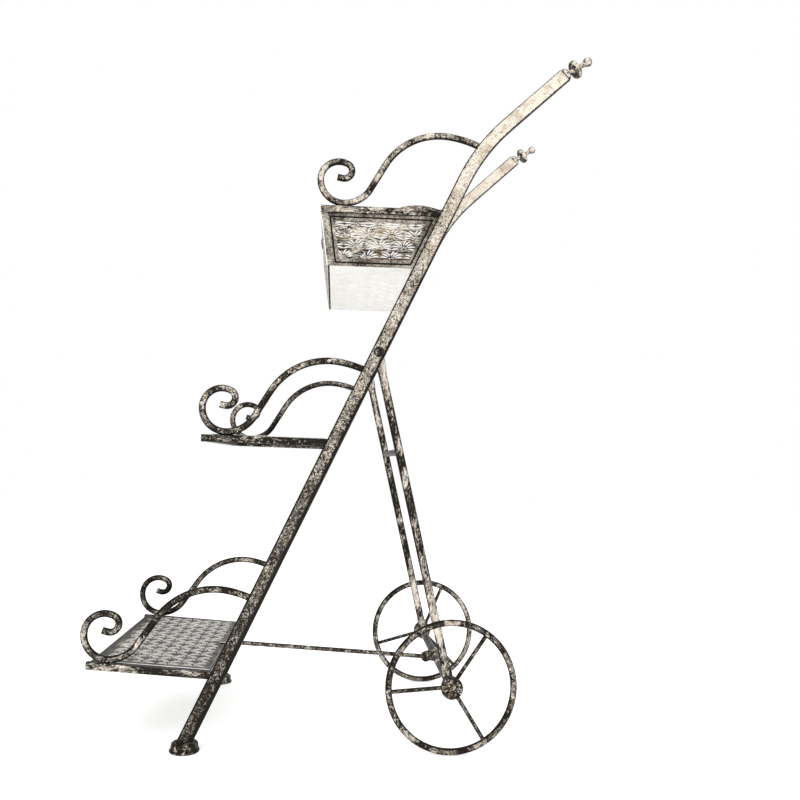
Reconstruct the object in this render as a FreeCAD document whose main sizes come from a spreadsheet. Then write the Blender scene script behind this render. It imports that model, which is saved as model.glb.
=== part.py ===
import FreeCAD, Part
import math
import os
import Sketcher

# Flower cart stand: two bent rails carry two shelves and a basket on scroll arms, and a hinged
# rear frame with two spoked wheels holds them up.  Millimetres and degrees, +Z up, shelves
# towards -Y, left is -X.  The origin is on the floor, in the middle of the object's box.

Vector = FreeCAD.Vector
Rotation = FreeCAD.Rotation
Placement = FreeCAD.Placement

SIZES = (
    ("rail_depth", 20.0, "rail tube, front to back"),
    ("rail_width", 12.0, "rail tube, side to side"),
    ("rail_wall", 1.5, "rail tube wall"),
    ("rail_corner", 3.0, "outer corner radius of the rail tube"),
    ("rail_spacing", 348.0, "between the middles of the two rails"),
    ("leg_lean", 24.6, "lean of the straight leg from upright"),
    ("handle_rise", 43.6, "rise of the handle from level"),
    ("bend_radius", 280.0, "middle radius of the bend below the handle"),
    ("knee_height", 846.0, "height where leg and handle lines cross"),
    ("handle_reach", 168.0, "from that crossing to the end of the handle"),
    ("ferrule_length", 29.0, "cast sleeve at the end of the handle"),
    ("ferrule_plug", 14.0, "its plug inside the tube"),
    ("seam_gap", 0.6, "groove between tube and ferrule"),
    ("plug_clearance", 0.1, "plug to tube wall"),
    ("spigot_radius", 3.0, "spigot of the finial in the ferrule"),
    ("spigot_length", 12.0, "its length"),
    ("finial_rise", 34.5, "rise of the turned finial from level"),
    ("bead_radius", 10.0, "dome where the finial meets the ferrule"),
    ("bead_length", 8.0, "height of that dome"),
    ("neck_radius", 3.6, "finial neck"),
    ("collar_radius", 13.6, "finial collar"),
    ("collar_middle", 20.5, "ferrule end to the middle of the collar"),
    ("collar_thickness", 9.0, "collar along the finial"),
    ("ball_radius", 6.8, "ball at the tip"),
    ("ball_middle", 42.6, "ferrule end to the middle of the ball"),
    ("foot_radius", 20.0, "round foot"),
    ("foot_height", 13.0, "height of the foot"),
    ("foot_floor", 6.0, "floor of its socket above the ground"),
    ("foot_edge", 4.0, "rounding of the foot"),
    ("foot_to_axle", 355.0, "middle of the foot to the axle, level"),
    ("bar_size", 10.0, "square bars of the shelves"),
    ("bar_edge", 1.5, "rounding of their long edges"),
    ("rod_radius", 4.75, "round rod of the scroll arms"),
    ("arm_inset", 3.0, "middle of an arm inside the middle of its rail"),
    ("arm_contact", 138.0, "rail front to where the scroll rests on the bar"),
    ("arm_rise_radius", 43.4, "first bend of the arm, up from the bar"),
    ("arm_rise_turn", 60.0, "turn of that bend"),
    ("arm_run", 42.0, "straight run of the arm"),
    ("arch_radius", 92.7, "arch of the arm"),
    ("arch_turn", 67.4, "turn of the arch"),
    ("tail_radius", 154.0, "last bend of the arm, into the rail"),
    ("tail_turn", 22.0, "turn of that bend before it is cut flush"),
    ("arm_meet", 105.0, "shelf's bars up to where the arm meets the rail"),
    ("scroll_radius", 33.3, "front bend of the scroll"),
    ("scroll_turn", 93.4, "turn of the front bend"),
    ("curl_radius", 26.3, "top bend of the scroll"),
    ("curl_turn", 113.0, "turn of the top bend"),
    ("eye_radius", 11.3, "inner bend of the scroll"),
    ("eye_turn", 165.0, "turn of the inner bend"),
    ("tip_run", 7.0, "straight tip inside the scroll"),
    ("sheet", 1.2, "sheet metal"),
    ("sheet_flange", 7.0, "folded edge of a shelf sheet"),
    ("sheet_rise", 1.2, "shelf sheet above its bars"),
    ("front_bar_inset", 3.0, "front bar behind the ends of the side bars"),
    ("sheet_to_rail", 2.0, "shelf sheet ahead of the rails' front"),
    ("notch_width", 15.0, "notch in the bottom sheet for the stay's hook"),
    ("notch_depth", 8.0, "depth of that notch"),
    ("rear_bar_middle", 14.0, "middle of a rear bar behind the rails' front"),
    ("bottom_height", 99.0, "bottom shelf's bars at the rails"),
    ("bottom_reach", 163.0, "bottom shelf ahead of the rails"),
    ("bottom_tilt", 4.0, "rise of the bottom shelf to the front"),
    ("middle_height", 416.5, "middle shelf's bars at the rails"),
    ("middle_reach", 170.0, "middle shelf ahead of the rails"),
    ("middle_tilt", 0.5, "rise of the middle shelf to the front"),
    ("basket_drop", 97.5, "that crossing of leg and handle down to the basket rim at the rails"),
    ("basket_reach", 170.0, "basket rim ahead of the rails"),
    ("basket_tilt", -0.5, "rise of the basket rim to the front"),
    ("basket_depth", 81.0, "middle of the rim bars to the floor"),
    ("basket_slope", 8.0, "lean of the front panel"),
    ("panel_flange", 10.0, "folded edge of the front panel"),
    ("panel_border", 4.0, "each of the two raised borders round a side panel"),
    ("border_gap", 2.5, "groove between those borders"),
    ("border_rise", 0.8, "how far the borders stand out"),
    ("floor_flange", 5.0, "folded edge of the basket floor"),
    ("hinge_height", 545.0, "hinge bolt above the ground"),
    ("bolt_radius", 3.0, "hinge bolt shank"),
    ("bolt_head_radius", 7.0, "domed head of the hinge bolt"),
    ("bolt_head_height", 4.2, "height of that head"),
    ("nut_flat", 10.0, "hinge nut across its flats"),
    ("nut_height", 5.0, "hinge nut"),
    ("bush_radius", 6.0, "spacer between rail and strut"),
    ("bush_length", 5.85, "its length"),
    ("pin_clearance", 0.06, "radial, hole to pin"),
    ("face_clearance", 0.15, "between faces that turn on each other"),
    ("strut_radius", 6.0, "strut tube"),
    ("strut_wall", 1.2, "its wall"),
    ("tab_width", 15.0, "flattened end of a strut"),
    ("tab_thickness", 5.0, "flattened end, side to side"),
    ("tab_length", 16.0, "flattened end, hole to where it widens"),
    ("taper_length", 14.0, "from flattened to round"),
    ("brace_drop", 143.0, "hinge to the middle of the brace, along the strut"),
    ("brace_radius", 5.0, "brace between the struts"),
    ("axle_radius", 4.0, "axle"),
    ("axle_tube_radius", 6.0, "spacer tube round the axle"),
    ("lug_radius", 9.5, "stay lug round the axle tube"),
    ("lug_eye_radius", 6.5, "its end at the bolt"),
    ("lug_thickness", 4.0, "side to side"),
    ("lug_reach", 15.0, "axle to the stay bolt, level"),
    ("lug_drop", 1.5, "stay bolt below the axle"),
    ("stay_bolt_radius", 2.5, "stay bolt shank"),
    ("stay_head_radius", 5.0, "stay bolt head"),
    ("stay_head_height", 3.2, "height of that head"),
    ("stay_radius", 3.2, "stay rod"),
    ("stay_eye_radius", 7.5, "eye of the stay"),
    ("stay_eye_thickness", 7.0, "eye of the stay, side to side"),
    ("hook_gap", 0.8, "hook to the bar it holds"),
    ("hook_bend", 5.0, "middle radius of the hook's bend"),
    ("hook_drop", 6.0, "hook's tip below the top of the bar"),
    ("wheel_radius", 90.0, "wheel over its rim"),
    ("rim_rod_radius", 4.5, "round rod of the rim"),
    ("wheel_gap", 8.0, "middle of a rim outside its rail"),
    ("spoke_radius", 2.8, "spoke"),
    ("hub_radius", 9.0, "hub barrel"),
    ("drum_radius", 13.5, "part of the hub that holds the spokes"),
    ("drum_width", 10.0, "its width"),
    ("cap_radius", 15.0, "hub cap"),
    ("cap_height", 5.5, "hub cap, side to side"),
    ("cap_recess_radius", 10.0, "hollow of the hub cap"),
    ("cap_recess_depth", 3.0, "depth of that hollow"),
    ("retainer_radius", 7.0, "push nut on the axle's end"),
    ("retainer_thickness", 1.2, "push nut"),
)

# angles of the three spokes, up from the rear, on the right and the left wheel
SPOKES_RIGHT = (56.0, 185.0, 303.0)
SPOKES_LEFT = (67.0, 196.0, 314.0)

doc = FreeCAD.newDocument("flower_cart_stand")
sheet = doc.addObject("Spreadsheet::Sheet", "Sizes")
for row, (alias, number, meaning) in enumerate(SIZES, start=1):
    sheet.set(f"A{row}", alias)
    sheet.set(f"B{row}", str(number))
    sheet.set(f"C{row}", meaning)
    sheet.setAlias(f"B{row}", alias)
doc.recompute()

sub_parts = {}


def size(alias):
    """A driving dimension, as the sheet holds it."""
    return float(sheet.get(alias))


def sin(degrees):
    return math.sin(math.radians(degrees))


def cos(degrees):
    return math.cos(math.radians(degrees))


def tan(degrees):
    return math.tan(math.radians(degrees))


def keep(piece, name, placement=None):
    """Names a finished sub-part, sets it in place and lists it for export."""
    piece.Label = name
    if placement is not None:
        piece.Placement = placement
    sub_parts[name] = piece
    return piece


# ---------------------------------------------------------------- helpers for sketched bodies

def new_body(name):
    return doc.addObject("PartDesign::Body", "Body_" + name)


def add_sketch(body, plane_role, shapes):
    """A fixed sketch on one of the body's own origin planes."""
    plane = next(f for f in body.Origin.OriginFeatures if f.Role == plane_role)
    sketch = body.newObject("Sketcher::SketchObject", "Outline")
    sketch.AttachmentSupport = (plane, [""])
    sketch.MapMode = "FlatFace"
    for shape in shapes:
        index = sketch.addGeometry(shape, False)
        sketch.addConstraint(Sketcher.Constraint("Block", index))
    return sketch


def point(x, y):
    return Vector(x, y, 0)


def dome(radius, low, high):
    """Arc from a turned piece's edge up to its middle."""
    rise = high - low
    ball = (radius ** 2 + rise ** 2) / (2 * rise)
    middle = math.asin(radius / ball) / 2
    between = point(ball * math.sin(middle), high - ball * (1 - math.cos(middle)))
    return Part.Arc(point(radius, low), between, point(0, high))


def polygon(points):
    """Closed outline through the points."""
    return [Part.LineSegment(point(*a), point(*b)) for a, b in zip(points, points[1:] + points[:1])]


def circle(x, y, radius):
    return Part.Circle(point(x, y), Vector(0, 0, 1), radius)


def arc(x, y, radius, start, end):
    """Arc from start to end, in degrees, counter-clockwise."""
    return Part.ArcOfCircle(circle(x, y, radius), math.radians(start), math.radians(end))


def rounded_rectangle(width, height, radius):
    """Outline about the origin with rounded corners."""
    x, y = width / 2, height / 2
    lines = [
        Part.LineSegment(point(-x + radius, -y), point(x - radius, -y)),
        Part.LineSegment(point(x, -y + radius), point(x, y - radius)),
        Part.LineSegment(point(x - radius, y), point(-x + radius, y)),
        Part.LineSegment(point(-x, y - radius), point(-x, -y + radius)),
    ]
    corners = ((x, y, 0), (-x, y, 90), (-x, -y, 180), (x, -y, 270))
    for cx, cy, start in corners:
        middle_x = cx - math.copysign(radius, cx)
        middle_y = cy - math.copysign(radius, cy)
        lines.append(arc(middle_x, middle_y, radius, start, start + 90))
    return lines


def smooth_line(start, heading, steps):
    """Tangent runs and turns from a start point; a left turn is positive.

    Gives the edges, the end point and the end heading in degrees.
    """
    x, y = start
    edges = []
    for kind, amount, turn in steps:
        if kind == "run":
            end_x = x + amount * cos(heading)
            end_y = y + amount * sin(heading)
            edges.append(Part.LineSegment(point(x, y), point(end_x, end_y)))
        else:
            side = math.copysign(1, turn)
            middle_x = x - side * amount * sin(heading)
            middle_y = y + side * amount * cos(heading)
            begin = heading - side * 90
            finish = begin + turn
            edges.append(arc(middle_x, middle_y, amount, min(begin, finish), max(begin, finish)))
            end_x = middle_x + amount * cos(finish)
            end_y = middle_y + amount * sin(finish)
            heading += turn
        x, y = end_x, end_y
    return edges, (x, y), heading


def add_pad(body, plane_role, shapes, length, midplane=False, reverse=False):
    pad = body.newObject("PartDesign::Pad", "Pad")
    pad.Profile = add_sketch(body, plane_role, shapes)
    pad.Midplane = midplane
    pad.Reversed = reverse
    bind(pad, "Length", length)
    return pad


def add_pocket(body, plane_role, shapes, length, midplane=False, reverse=False):
    """A cut that must take something away."""
    doc.recompute()
    before = body.Shape.Volume
    pocket = body.newObject("PartDesign::Pocket", "Pocket")
    pocket.Profile = add_sketch(body, plane_role, shapes)
    pocket.Midplane = midplane
    pocket.Reversed = reverse
    bind(pocket, "Length", length)
    doc.recompute()
    if body.Shape.Volume >= before:
        raise ValueError("a pocket in " + body.Name + " cuts nothing")
    return pocket


def add_pipe(body, section_plane, section, path):
    """A section carried along a path that is drawn on the upright plane through the middle."""
    pipe = body.newObject("PartDesign::AdditivePipe", "Tube")
    pipe.Profile = add_sketch(body, section_plane, section)
    spine = add_sketch(body, "YZ_Plane", path)
    pipe.Spine = (spine, [f"Edge{number}" for number in range(1, len(path) + 1)])
    return pipe


def add_turning(body, outline):
    """A turned form: the outline lies on the XZ plane and turns about Z."""
    sketch = add_sketch(body, "XZ_Plane", outline)
    turning = body.newObject("PartDesign::Revolution", "Turning")
    turning.Profile = sketch
    turning.ReferenceAxis = (sketch, ["V_Axis"])
    turning.Angle = 360
    return turning


def bind(feature, prop, value):
    """Ties a property to the sheet by an expression, or sets a plain number."""
    if isinstance(value, str):
        feature.setExpression(prop, value)
    else:
        setattr(feature, prop, value)


def primitive(kind, name, **sizes):
    """A Part primitive whose sizes are expressions on the sheet."""
    solid = doc.addObject("Part::" + kind, name)
    for prop, value in sizes.items():
        bind(solid, prop, value)
    return solid


def cut(name, base, tool):
    result = doc.addObject("Part::Cut", name)
    result.Base = base
    result.Tool = tool
    return result


# Cylinders and turned bodies stand along Z; this lays them along X, pointing outwards.
def outward(side):
    return Rotation(Vector(0, 1, 0), 90 * side)


SIDES = (("left", -1), ("right", 1))

# ---------------------------------------------------------------- layout worked out from the sizes

half_depth = size("rail_depth") / 2
lean = size("leg_lean")
rail_x = size("rail_spacing") / 2
rail_outer_x = rail_x + size("rail_width") / 2
rail_inner_x = rail_x - size("rail_width") / 2
half_bar = size("bar_size") / 2
arm_x = rail_x - size("arm_inset")
arm_inner_x = arm_x - half_bar
tab_outer_x = rail_inner_x - size("bush_length") - size("face_clearance")
tab_inner_x = tab_outer_x - size("tab_thickness")
strut_x = (tab_outer_x + tab_inner_x) / 2
wheel_x = rail_outer_x + size("wheel_gap")


def leg_y(height):
    """Middle line of the leg, measured from the axle."""
    return -size("foot_to_axle") + (height - size("foot_height")) * tan(lean)


def rail_front_y(height):
    return leg_y(height) - half_depth / cos(lean)


def rail_front_line(height):
    """Place and lean of the rails' front, on the leg or in the bend above it."""
    radius = size("bend_radius")
    outer = radius + half_depth
    tangent = radius * tan((90 - size("handle_rise") - lean) / 2)
    bend_start = size("knee_height") - tangent * cos(lean)
    middle_y = leg_y(bend_start) + radius * cos(lean)
    middle_z = bend_start - radius * sin(lean)
    if height < middle_z + outer * sin(lean):
        return rail_front_y(height), lean
    turned = math.degrees(math.asin((height - middle_z) / outer))
    return middle_y - outer * cos(turned), turned


def arm_steps():
    """Bends of an arm from the scroll's lowest point to the rail."""
    return (
        ("turn", size("arm_rise_radius"), size("arm_rise_turn")),
        ("run", size("arm_run"), 0),
        ("turn", size("arch_radius"), -size("arch_turn")),
        ("turn", size("tail_radius"), -size("tail_turn")),
    )


def scroll_steps():
    """Bends of an arm from the scroll's lowest point to its tip."""
    return (
        ("turn", size("scroll_radius"), -size("scroll_turn")),
        ("turn", size("curl_radius"), -size("curl_turn")),
        ("turn", size("eye_radius"), -size("eye_turn")),
        ("run", size("tip_run"), 0),
    )


handle_end_y = leg_y(size("knee_height")) + size("handle_reach") * cos(size("handle_rise"))
handle_end_z = size("knee_height") + size("handle_reach") * sin(size("handle_rise"))
rear_most = handle_end_y + size("ball_middle") * cos(size("finial_rise")) + size("ball_radius")
bottom_tilt = size("bottom_tilt")
scroll_middle_rise = half_bar + size("rod_radius") + size("scroll_radius")
front_most = (rail_front_y(size("bottom_height")) - size("arm_contact") * cos(bottom_tilt)
              + scroll_middle_rise * sin(bottom_tilt) - size("scroll_radius") - size("rod_radius"))

# the axle's place, which puts the origin in the middle of the object's box
axle_y = -(front_most + rear_most) / 2
axle_z = size("wheel_radius")
hinge_y = axle_y + leg_y(size("hinge_height"))
hinge_z = size("hinge_height")
strut_length = math.hypot(axle_y - hinge_y, hinge_z - axle_z)
strut_lean = math.degrees(math.atan2(axle_y - hinge_y, hinge_z - axle_z))

# ---------------------------------------------------------------- rails, feet and handles

foot_y = axle_y + leg_y(size("foot_height"))
rail_start = (size("foot_floor") - size("foot_height")) / cos(lean) - half_depth * tan(lean)
tube_start = Placement(Vector(0, foot_y, size("foot_height")), Rotation(Vector(1, 0, 0), -lean))


def rail_section(clearance=0.0):
    return rounded_rectangle(size("rail_width") - 2 * clearance, size("rail_depth") - 2 * clearance,
                             size("rail_corner") - clearance)


def rail_path():
    """Leg, bend and handle up to the ferrule, in the leg's own line from the foot's top."""
    turn = 90 - size("handle_rise") - lean
    tangent = size("bend_radius") * tan(turn / 2)
    leg_length = (size("knee_height") - size("foot_height")) / cos(lean) - tangent - rail_start
    handle_run = size("handle_reach") - size("ferrule_length") - tangent
    steps = (("run", leg_length, 0), ("turn", size("bend_radius"), -turn), ("run", handle_run, 0))
    return smooth_line((0, 0), 90, steps)[0]


def build_rail(name, side):
    """Bent tube, cut level inside its foot, with the hole for the hinge bolt."""
    body = new_body(name)
    wall = size("rail_wall")
    add_pipe(body, "XY_Plane", rail_section() + rail_section(wall), rail_path())
    level_end = half_depth * tan(lean)
    below = -level_end - half_depth
    wedge = polygon([(-half_depth * 2, -level_end), (-half_depth * 2, below),
                     (half_depth * 2, below), (half_depth * 2, 3 * level_end)])
    add_pocket(body, "YZ_Plane", wedge, "2 * Sizes.rail_width", midplane=True)
    hinge_run = (hinge_z - size("foot_height")) / cos(lean) - rail_start
    hole = [circle(0, hinge_run, size("bolt_radius") + size("pin_clearance"))]
    add_pocket(body, "YZ_Plane", hole, "2 * Sizes.rail_width", midplane=True)
    start = tube_start.multVec(Vector(0, 0, rail_start))
    keep(body, name, Placement(Vector(side * rail_x, start.y, start.z), tube_start.Rotation))


def build_foot(name, side):
    """Turned foot with a slanted socket for the rail."""
    body = new_body(name)
    radius, height, edge = size("foot_radius"), size("foot_height"), size("foot_edge")
    neck = radius - edge / 2
    outline = [
        Part.LineSegment(point(0, 0), point(radius - edge / 2, 0)),
        Part.Arc(point(radius - edge / 2, 0), point(radius, edge / 2), point(radius - edge / 2, edge)),
        Part.LineSegment(point(radius - edge / 2, edge), point(neck, height - edge)),
        arc(neck - edge, height - edge, edge, 0, 90),
        Part.LineSegment(point(neck - edge, height), point(0, height)),
        Part.LineSegment(point(0, height), point(0, 0)),
    ]
    add_turning(body, outline)
    gap = size("plug_clearance")
    half = (half_depth + gap) / cos(lean)
    floor, top = size("foot_floor"), height + edge
    shift_low = (floor - height) * tan(lean)
    shift_high = (top - height) * tan(lean)
    socket = polygon([(shift_low - half, floor), (shift_low + half, floor),
                      (shift_high + half, top), (shift_high - half, top)])
    add_pocket(body, "YZ_Plane", socket, "Sizes.rail_width + 2 * Sizes.plug_clearance", midplane=True)
    keep(body, name, Placement(Vector(side * rail_x, foot_y, 0), Rotation()))


handle_turn = Rotation(Vector(1, 0, 0), -(90 - size("handle_rise")))
finial_turn = Rotation(Vector(1, 0, 0), -(90 - size("finial_rise")))


def handle_end(side):
    return Vector(side * rail_x, axle_y + handle_end_y, handle_end_z)


def build_ferrule(name, side):
    """Cast sleeve that continues the handle, with a plug in the tube and a hole for the finial."""
    body = new_body(name)
    seam = size("seam_gap")
    gap = size("rail_wall") + size("plug_clearance")
    add_pad(body, "XY_Plane", rail_section(), "Sizes.ferrule_length - Sizes.seam_gap", reverse=True)
    plug = add_pad(body, "XY_Plane", rail_section(gap),
                   "Sizes.ferrule_length + Sizes.ferrule_plug", reverse=True)
    plug.Label = name + "_plug"
    hole = [circle(0, 0, size("spigot_radius") + size("pin_clearance"))]
    add_pocket(body, "XY_Plane", hole, size("spigot_length") + seam)
    keep(body, name, Placement(handle_end(side), handle_turn))


def build_finial(name, side):
    """Turned dome, collar and ball, cut to sit on the ferrule, with a spigot below."""
    bead_r, bead_h, neck = size("bead_radius"), size("bead_length"), size("neck_radius")
    collar_r, middle, thick = size("collar_radius"), size("collar_middle"), size("collar_thickness")
    ball_r, ball = size("ball_radius"), size("ball_middle")
    sunk = bead_r * tan(size("handle_rise") - size("finial_rise"))
    collar_arc = thick / 2
    ball_low = ball - math.sqrt(ball_r ** 2 - neck ** 2)
    body = new_body(name)
    shoulder = collar_r - collar_arc
    outline = [
        Part.LineSegment(point(0, -sunk), point(bead_r, -sunk)),
        Part.LineSegment(point(bead_r, -sunk), point(bead_r, bead_h / 3)),
        Part.Arc(point(bead_r, bead_h / 3), point((bead_r + neck) * 0.58, bead_h * 0.86),
                 point(neck, bead_h)),
        Part.LineSegment(point(neck, bead_h), point(neck, middle - thick / 2)),
        Part.LineSegment(point(neck, middle - thick / 2), point(shoulder, middle - thick / 2)),
        arc(shoulder, middle, collar_arc, -90, 90),
        Part.LineSegment(point(shoulder, middle + thick / 2), point(neck, middle + thick / 2)),
        Part.LineSegment(point(neck, middle + thick / 2), point(neck, ball_low)),
        Part.Arc(point(neck, ball_low), point(ball_r, ball), point(0, ball + ball_r)),
        Part.LineSegment(point(0, ball + ball_r), point(0, -sunk)),
    ]
    add_turning(body, outline)
    rise = size("handle_rise") - size("finial_rise")
    reach = 2 * bead_r
    below = polygon([(-reach, -reach * tan(rise)), (reach, reach * tan(rise)),
                     (reach, -reach), (-reach, -reach)])
    add_pocket(body, "YZ_Plane", below, "4 * Sizes.bead_radius", midplane=True)
    body.Placement = Placement(handle_end(side), finial_turn)
    spigot = primitive("Cylinder", "Spigot_" + name, Radius="Sizes.spigot_radius",
                       Height="Sizes.spigot_length + Sizes.bead_length / 2")
    spigot.Placement = Placement(handle_end(side) - handle_turn.multVec(Vector(0, 0, size("spigot_length"))),
                                 handle_turn)
    whole = doc.addObject("Part::Fuse", "Whole_" + name)
    whole.Base = body
    whole.Tool = spigot
    keep(whole, name)


# ---------------------------------------------------------------- shelves and basket

def tier_placement(height, tilt):
    """Frame of a shelf: the origin on the rails' front, Y back along the bars, Z up."""
    return Placement(Vector(0, axle_y + rail_front_y(height), height), Rotation(Vector(1, 0, 0), -tilt))


def rail_slope(tilt):
    """Run of the rails' front per unit of height in a shelf's frame."""
    return tan(lean - tilt)


def bar_section():
    return rounded_rectangle(size("bar_size"), size("bar_size"), size("bar_edge"))


def build_side_bar(name, tier, side):
    """Square bar from the front end to the rail, cut flush with the rail."""
    height, reach, tilt = tier
    end = half_bar * rail_slope(tilt)
    body = new_body(name)
    add_pad(body, "XZ_Plane", bar_section(), reach + end)
    behind = polygon([(-3 * end, -2 * half_bar), (2 * half_bar, -2 * half_bar),
                      (2 * half_bar, 2 * half_bar), (end, 2 * half_bar)])
    add_pocket(body, "YZ_Plane", behind, "2 * Sizes.bar_size", midplane=True)
    place = Placement(Vector(side * arm_x, end, 0), Rotation())
    keep(body, name, tier_placement(height, tilt).multiply(place))


def build_cross_bar(name, tier, middle, half_width):
    """Square bar from side to side, its middle at the given place behind the rails' front."""
    height, _, tilt = tier
    body = new_body(name)
    add_pad(body, "YZ_Plane", bar_section(), 2 * half_width, midplane=True)
    keep(body, name, tier_placement(height, tilt).multiply(Placement(Vector(0, middle, 0), Rotation())))


def build_arm(name, tier, side):
    """Scroll arm of one bent rod, resting on the side bar and cut flush with the rail."""
    height, _, tilt = tier
    body = new_body(name)
    rod = [circle(0, 0, size("rod_radius"))]
    add_pipe(body, "XZ_Plane", rod, smooth_line((0, 0), 0, arm_steps())[0])
    add_pipe(body, "XZ_Plane", rod, smooth_line((0, 0), 180, scroll_steps())[0])
    corner = Placement(Vector(side * arm_x, -size("arm_contact"), half_bar + size("rod_radius")), Rotation())
    place = tier_placement(height, tilt).multiply(corner)
    meet_z = height + size("arm_meet")
    front_y, front_lean = rail_front_line(meet_z)
    meet = place.inverse().multVec(Vector(0, axle_y + front_y, meet_z))
    rise = size("scroll_radius")
    shift = rise * tan(front_lean - tilt)
    beyond = meet.y + size("arm_contact")
    behind = polygon([(meet.y - shift, meet.z - rise), (meet.y + shift, meet.z + rise),
                      (beyond, meet.z + rise), (beyond, meet.z - rise)])
    add_pocket(body, "YZ_Plane", behind, "4 * Sizes.rod_radius", midplane=True)
    keep(body, name, place)


def build_shelf_sheet(name, tier, notch=()):
    """Sheet with its edges folded down between the bars; a notch is listed from right to left."""
    height, reach, tilt = tier
    body = new_body(name)
    front = -reach + size("front_bar_inset") + size("bar_size")
    rear = -size("sheet_to_rail")
    outer = [(-arm_inner_x, front), (arm_inner_x, front), (arm_inner_x, rear), *notch, (-arm_inner_x, rear)]
    inner = inset(outer, size("sheet"))
    add_pad(body, "XY_Plane", polygon(outer), "Sizes.sheet_flange + Sizes.sheet_rise")
    add_pocket(body, "XY_Plane", polygon(inner),
               "Sizes.sheet_flange + Sizes.sheet_rise - Sizes.sheet", reverse=True)
    base = Placement(Vector(0, 0, half_bar - size("sheet_flange")), Rotation())
    keep(body, name, tier_placement(height, tilt).multiply(base))


def build_shelf(prefix, tier):
    """Two side bars, two cross bars, two arms and a sheet."""
    reach = tier[1]
    for hand, side in SIDES:
        build_side_bar(f"{prefix}_side_bar_{hand}", tier, side)
        build_arm(f"{prefix}_arm_{hand}", tier, side)
    front_middle = -reach + size("front_bar_inset") + half_bar
    build_cross_bar(f"{prefix}_front_bar", tier, front_middle, arm_inner_x)
    build_cross_bar(f"{prefix}_rear_bar", tier, size("rear_bar_middle"), rail_inner_x)


def inset(points, distance):
    """The polygon moved inwards by a distance; its points run counter-clockwise."""
    moved = []
    count = len(points)
    for index in range(count):
        before, here, after = points[index - 1], points[index], points[(index + 1) % count]
        first = math.atan2(here[1] - before[1], here[0] - before[0])
        second = math.atan2(after[1] - here[1], after[0] - here[0])
        half = (second - first) / 2
        direction = (first + second) / 2 + math.pi / 2
        if abs(half) > math.pi / 2:
            direction += math.pi
        length = distance / abs(math.cos(half))
        moved.append((here[0] + length * math.cos(direction), here[1] + length * math.sin(direction)))
    return moved


def basket_corners(tier):
    """Side panel of the basket, counter-clockwise from the lower front corner."""
    _, reach, tilt = tier
    slope = rail_slope(tilt)
    depth, top = size("basket_depth"), -half_bar
    front_top = -reach + size("sheet")
    front_low = front_top + (depth - half_bar) * tan(size("basket_slope"))
    return [(front_low, -depth), (-depth * slope, -depth), (top * slope, top), (front_top, top)]


def build_side_panel(name, tier, side):
    """Flat panel with two raised borders, hung under the rim bar."""
    height, _, tilt = tier
    corners = basket_corners(tier)
    border, gap = size("panel_border"), size("border_gap")
    behind_flange = size("panel_flange") - border
    clear = [(corners[0][0] + behind_flange, corners[0][1]), corners[1], corners[2],
             (corners[3][0] + behind_flange, corners[3][1])]
    borders = polygon(corners)
    for distance in (border, border + gap, 2 * border + gap):
        borders += polygon(inset(clear, distance))
    body = new_body(name)
    add_pad(body, "YZ_Plane", polygon(corners), "Sizes.sheet", reverse=side < 0)
    add_pad(body, "YZ_Plane", borders, "Sizes.sheet + Sizes.border_rise", reverse=side < 0)
    place = Placement(Vector(side * (arm_x - size("sheet")), 0, 0), Rotation())
    keep(body, name, tier_placement(height, tilt).multiply(place))


def build_basket(tier):
    """Rim bars and arms as on a shelf, with panels and a floor below them."""
    height, reach, tilt = tier
    frame = tier_placement(height, tilt)
    slope = rail_slope(tilt)
    wall, depth = size("sheet"), size("basket_depth")
    build_shelf("basket", tier)
    for hand, side in SIDES:
        build_side_panel(f"basket_side_panel_{hand}", tier, side)
    inner_x = arm_x - wall

    front = new_body("basket_front_panel")
    lean_in = size("basket_slope")
    outer_x = arm_x + size("border_rise") + wall
    flange = size("panel_flange")
    channel = polygon([(-outer_x, 0), (outer_x, 0), (outer_x, flange), (outer_x - wall, flange),
                       (outer_x - wall, wall), (-outer_x + wall, wall), (-outer_x + wall, flange),
                       (-outer_x, flange)])
    add_pad(front, "XY_Plane", channel, (depth - half_bar) / cos(lean_in), reverse=True)
    lift = wall * tan(lean_in)
    place = Placement(Vector(0, -reach, -half_bar - lift), Rotation(Vector(1, 0, 0), lean_in))
    keep(front, "basket_front_panel", frame.multiply(place))

    low_front = basket_corners(tier)[0][0]
    low_rear = -depth * slope
    rear = new_body("basket_rear_panel")
    rear_length = math.hypot(depth - half_bar, (depth - half_bar) * slope)
    outline = polygon([(-inner_x, -wall), (inner_x, -wall), (inner_x, 0), (-inner_x, 0)])
    add_pad(rear, "XY_Plane", outline, rear_length, reverse=True)
    place = Placement(Vector(0, -half_bar * slope, -half_bar), Rotation(Vector(1, 0, 0), -(lean - tilt)))
    keep(rear, "basket_rear_panel", frame.multiply(place))

    floor = new_body("basket_floor")
    flange = size("floor_flange")
    back = low_rear - wall / cos(lean - tilt)
    ahead = low_front + 2 * wall
    outer = [(-inner_x, ahead), (inner_x, ahead), (inner_x, back), (-inner_x, back)]
    add_pad(floor, "XY_Plane", polygon(outer), "Sizes.sheet")
    add_pad(floor, "XY_Plane", polygon(outer) + polygon(inset(outer, wall)), "Sizes.floor_flange")
    keep(floor, "basket_floor", frame.multiply(Placement(Vector(0, 0, -depth), Rotation())))


# ---------------------------------------------------------------- hinge bolts, bushes and nuts

def hinge_point(side, x):
    return Vector(side * x, hinge_y, hinge_z)


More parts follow.
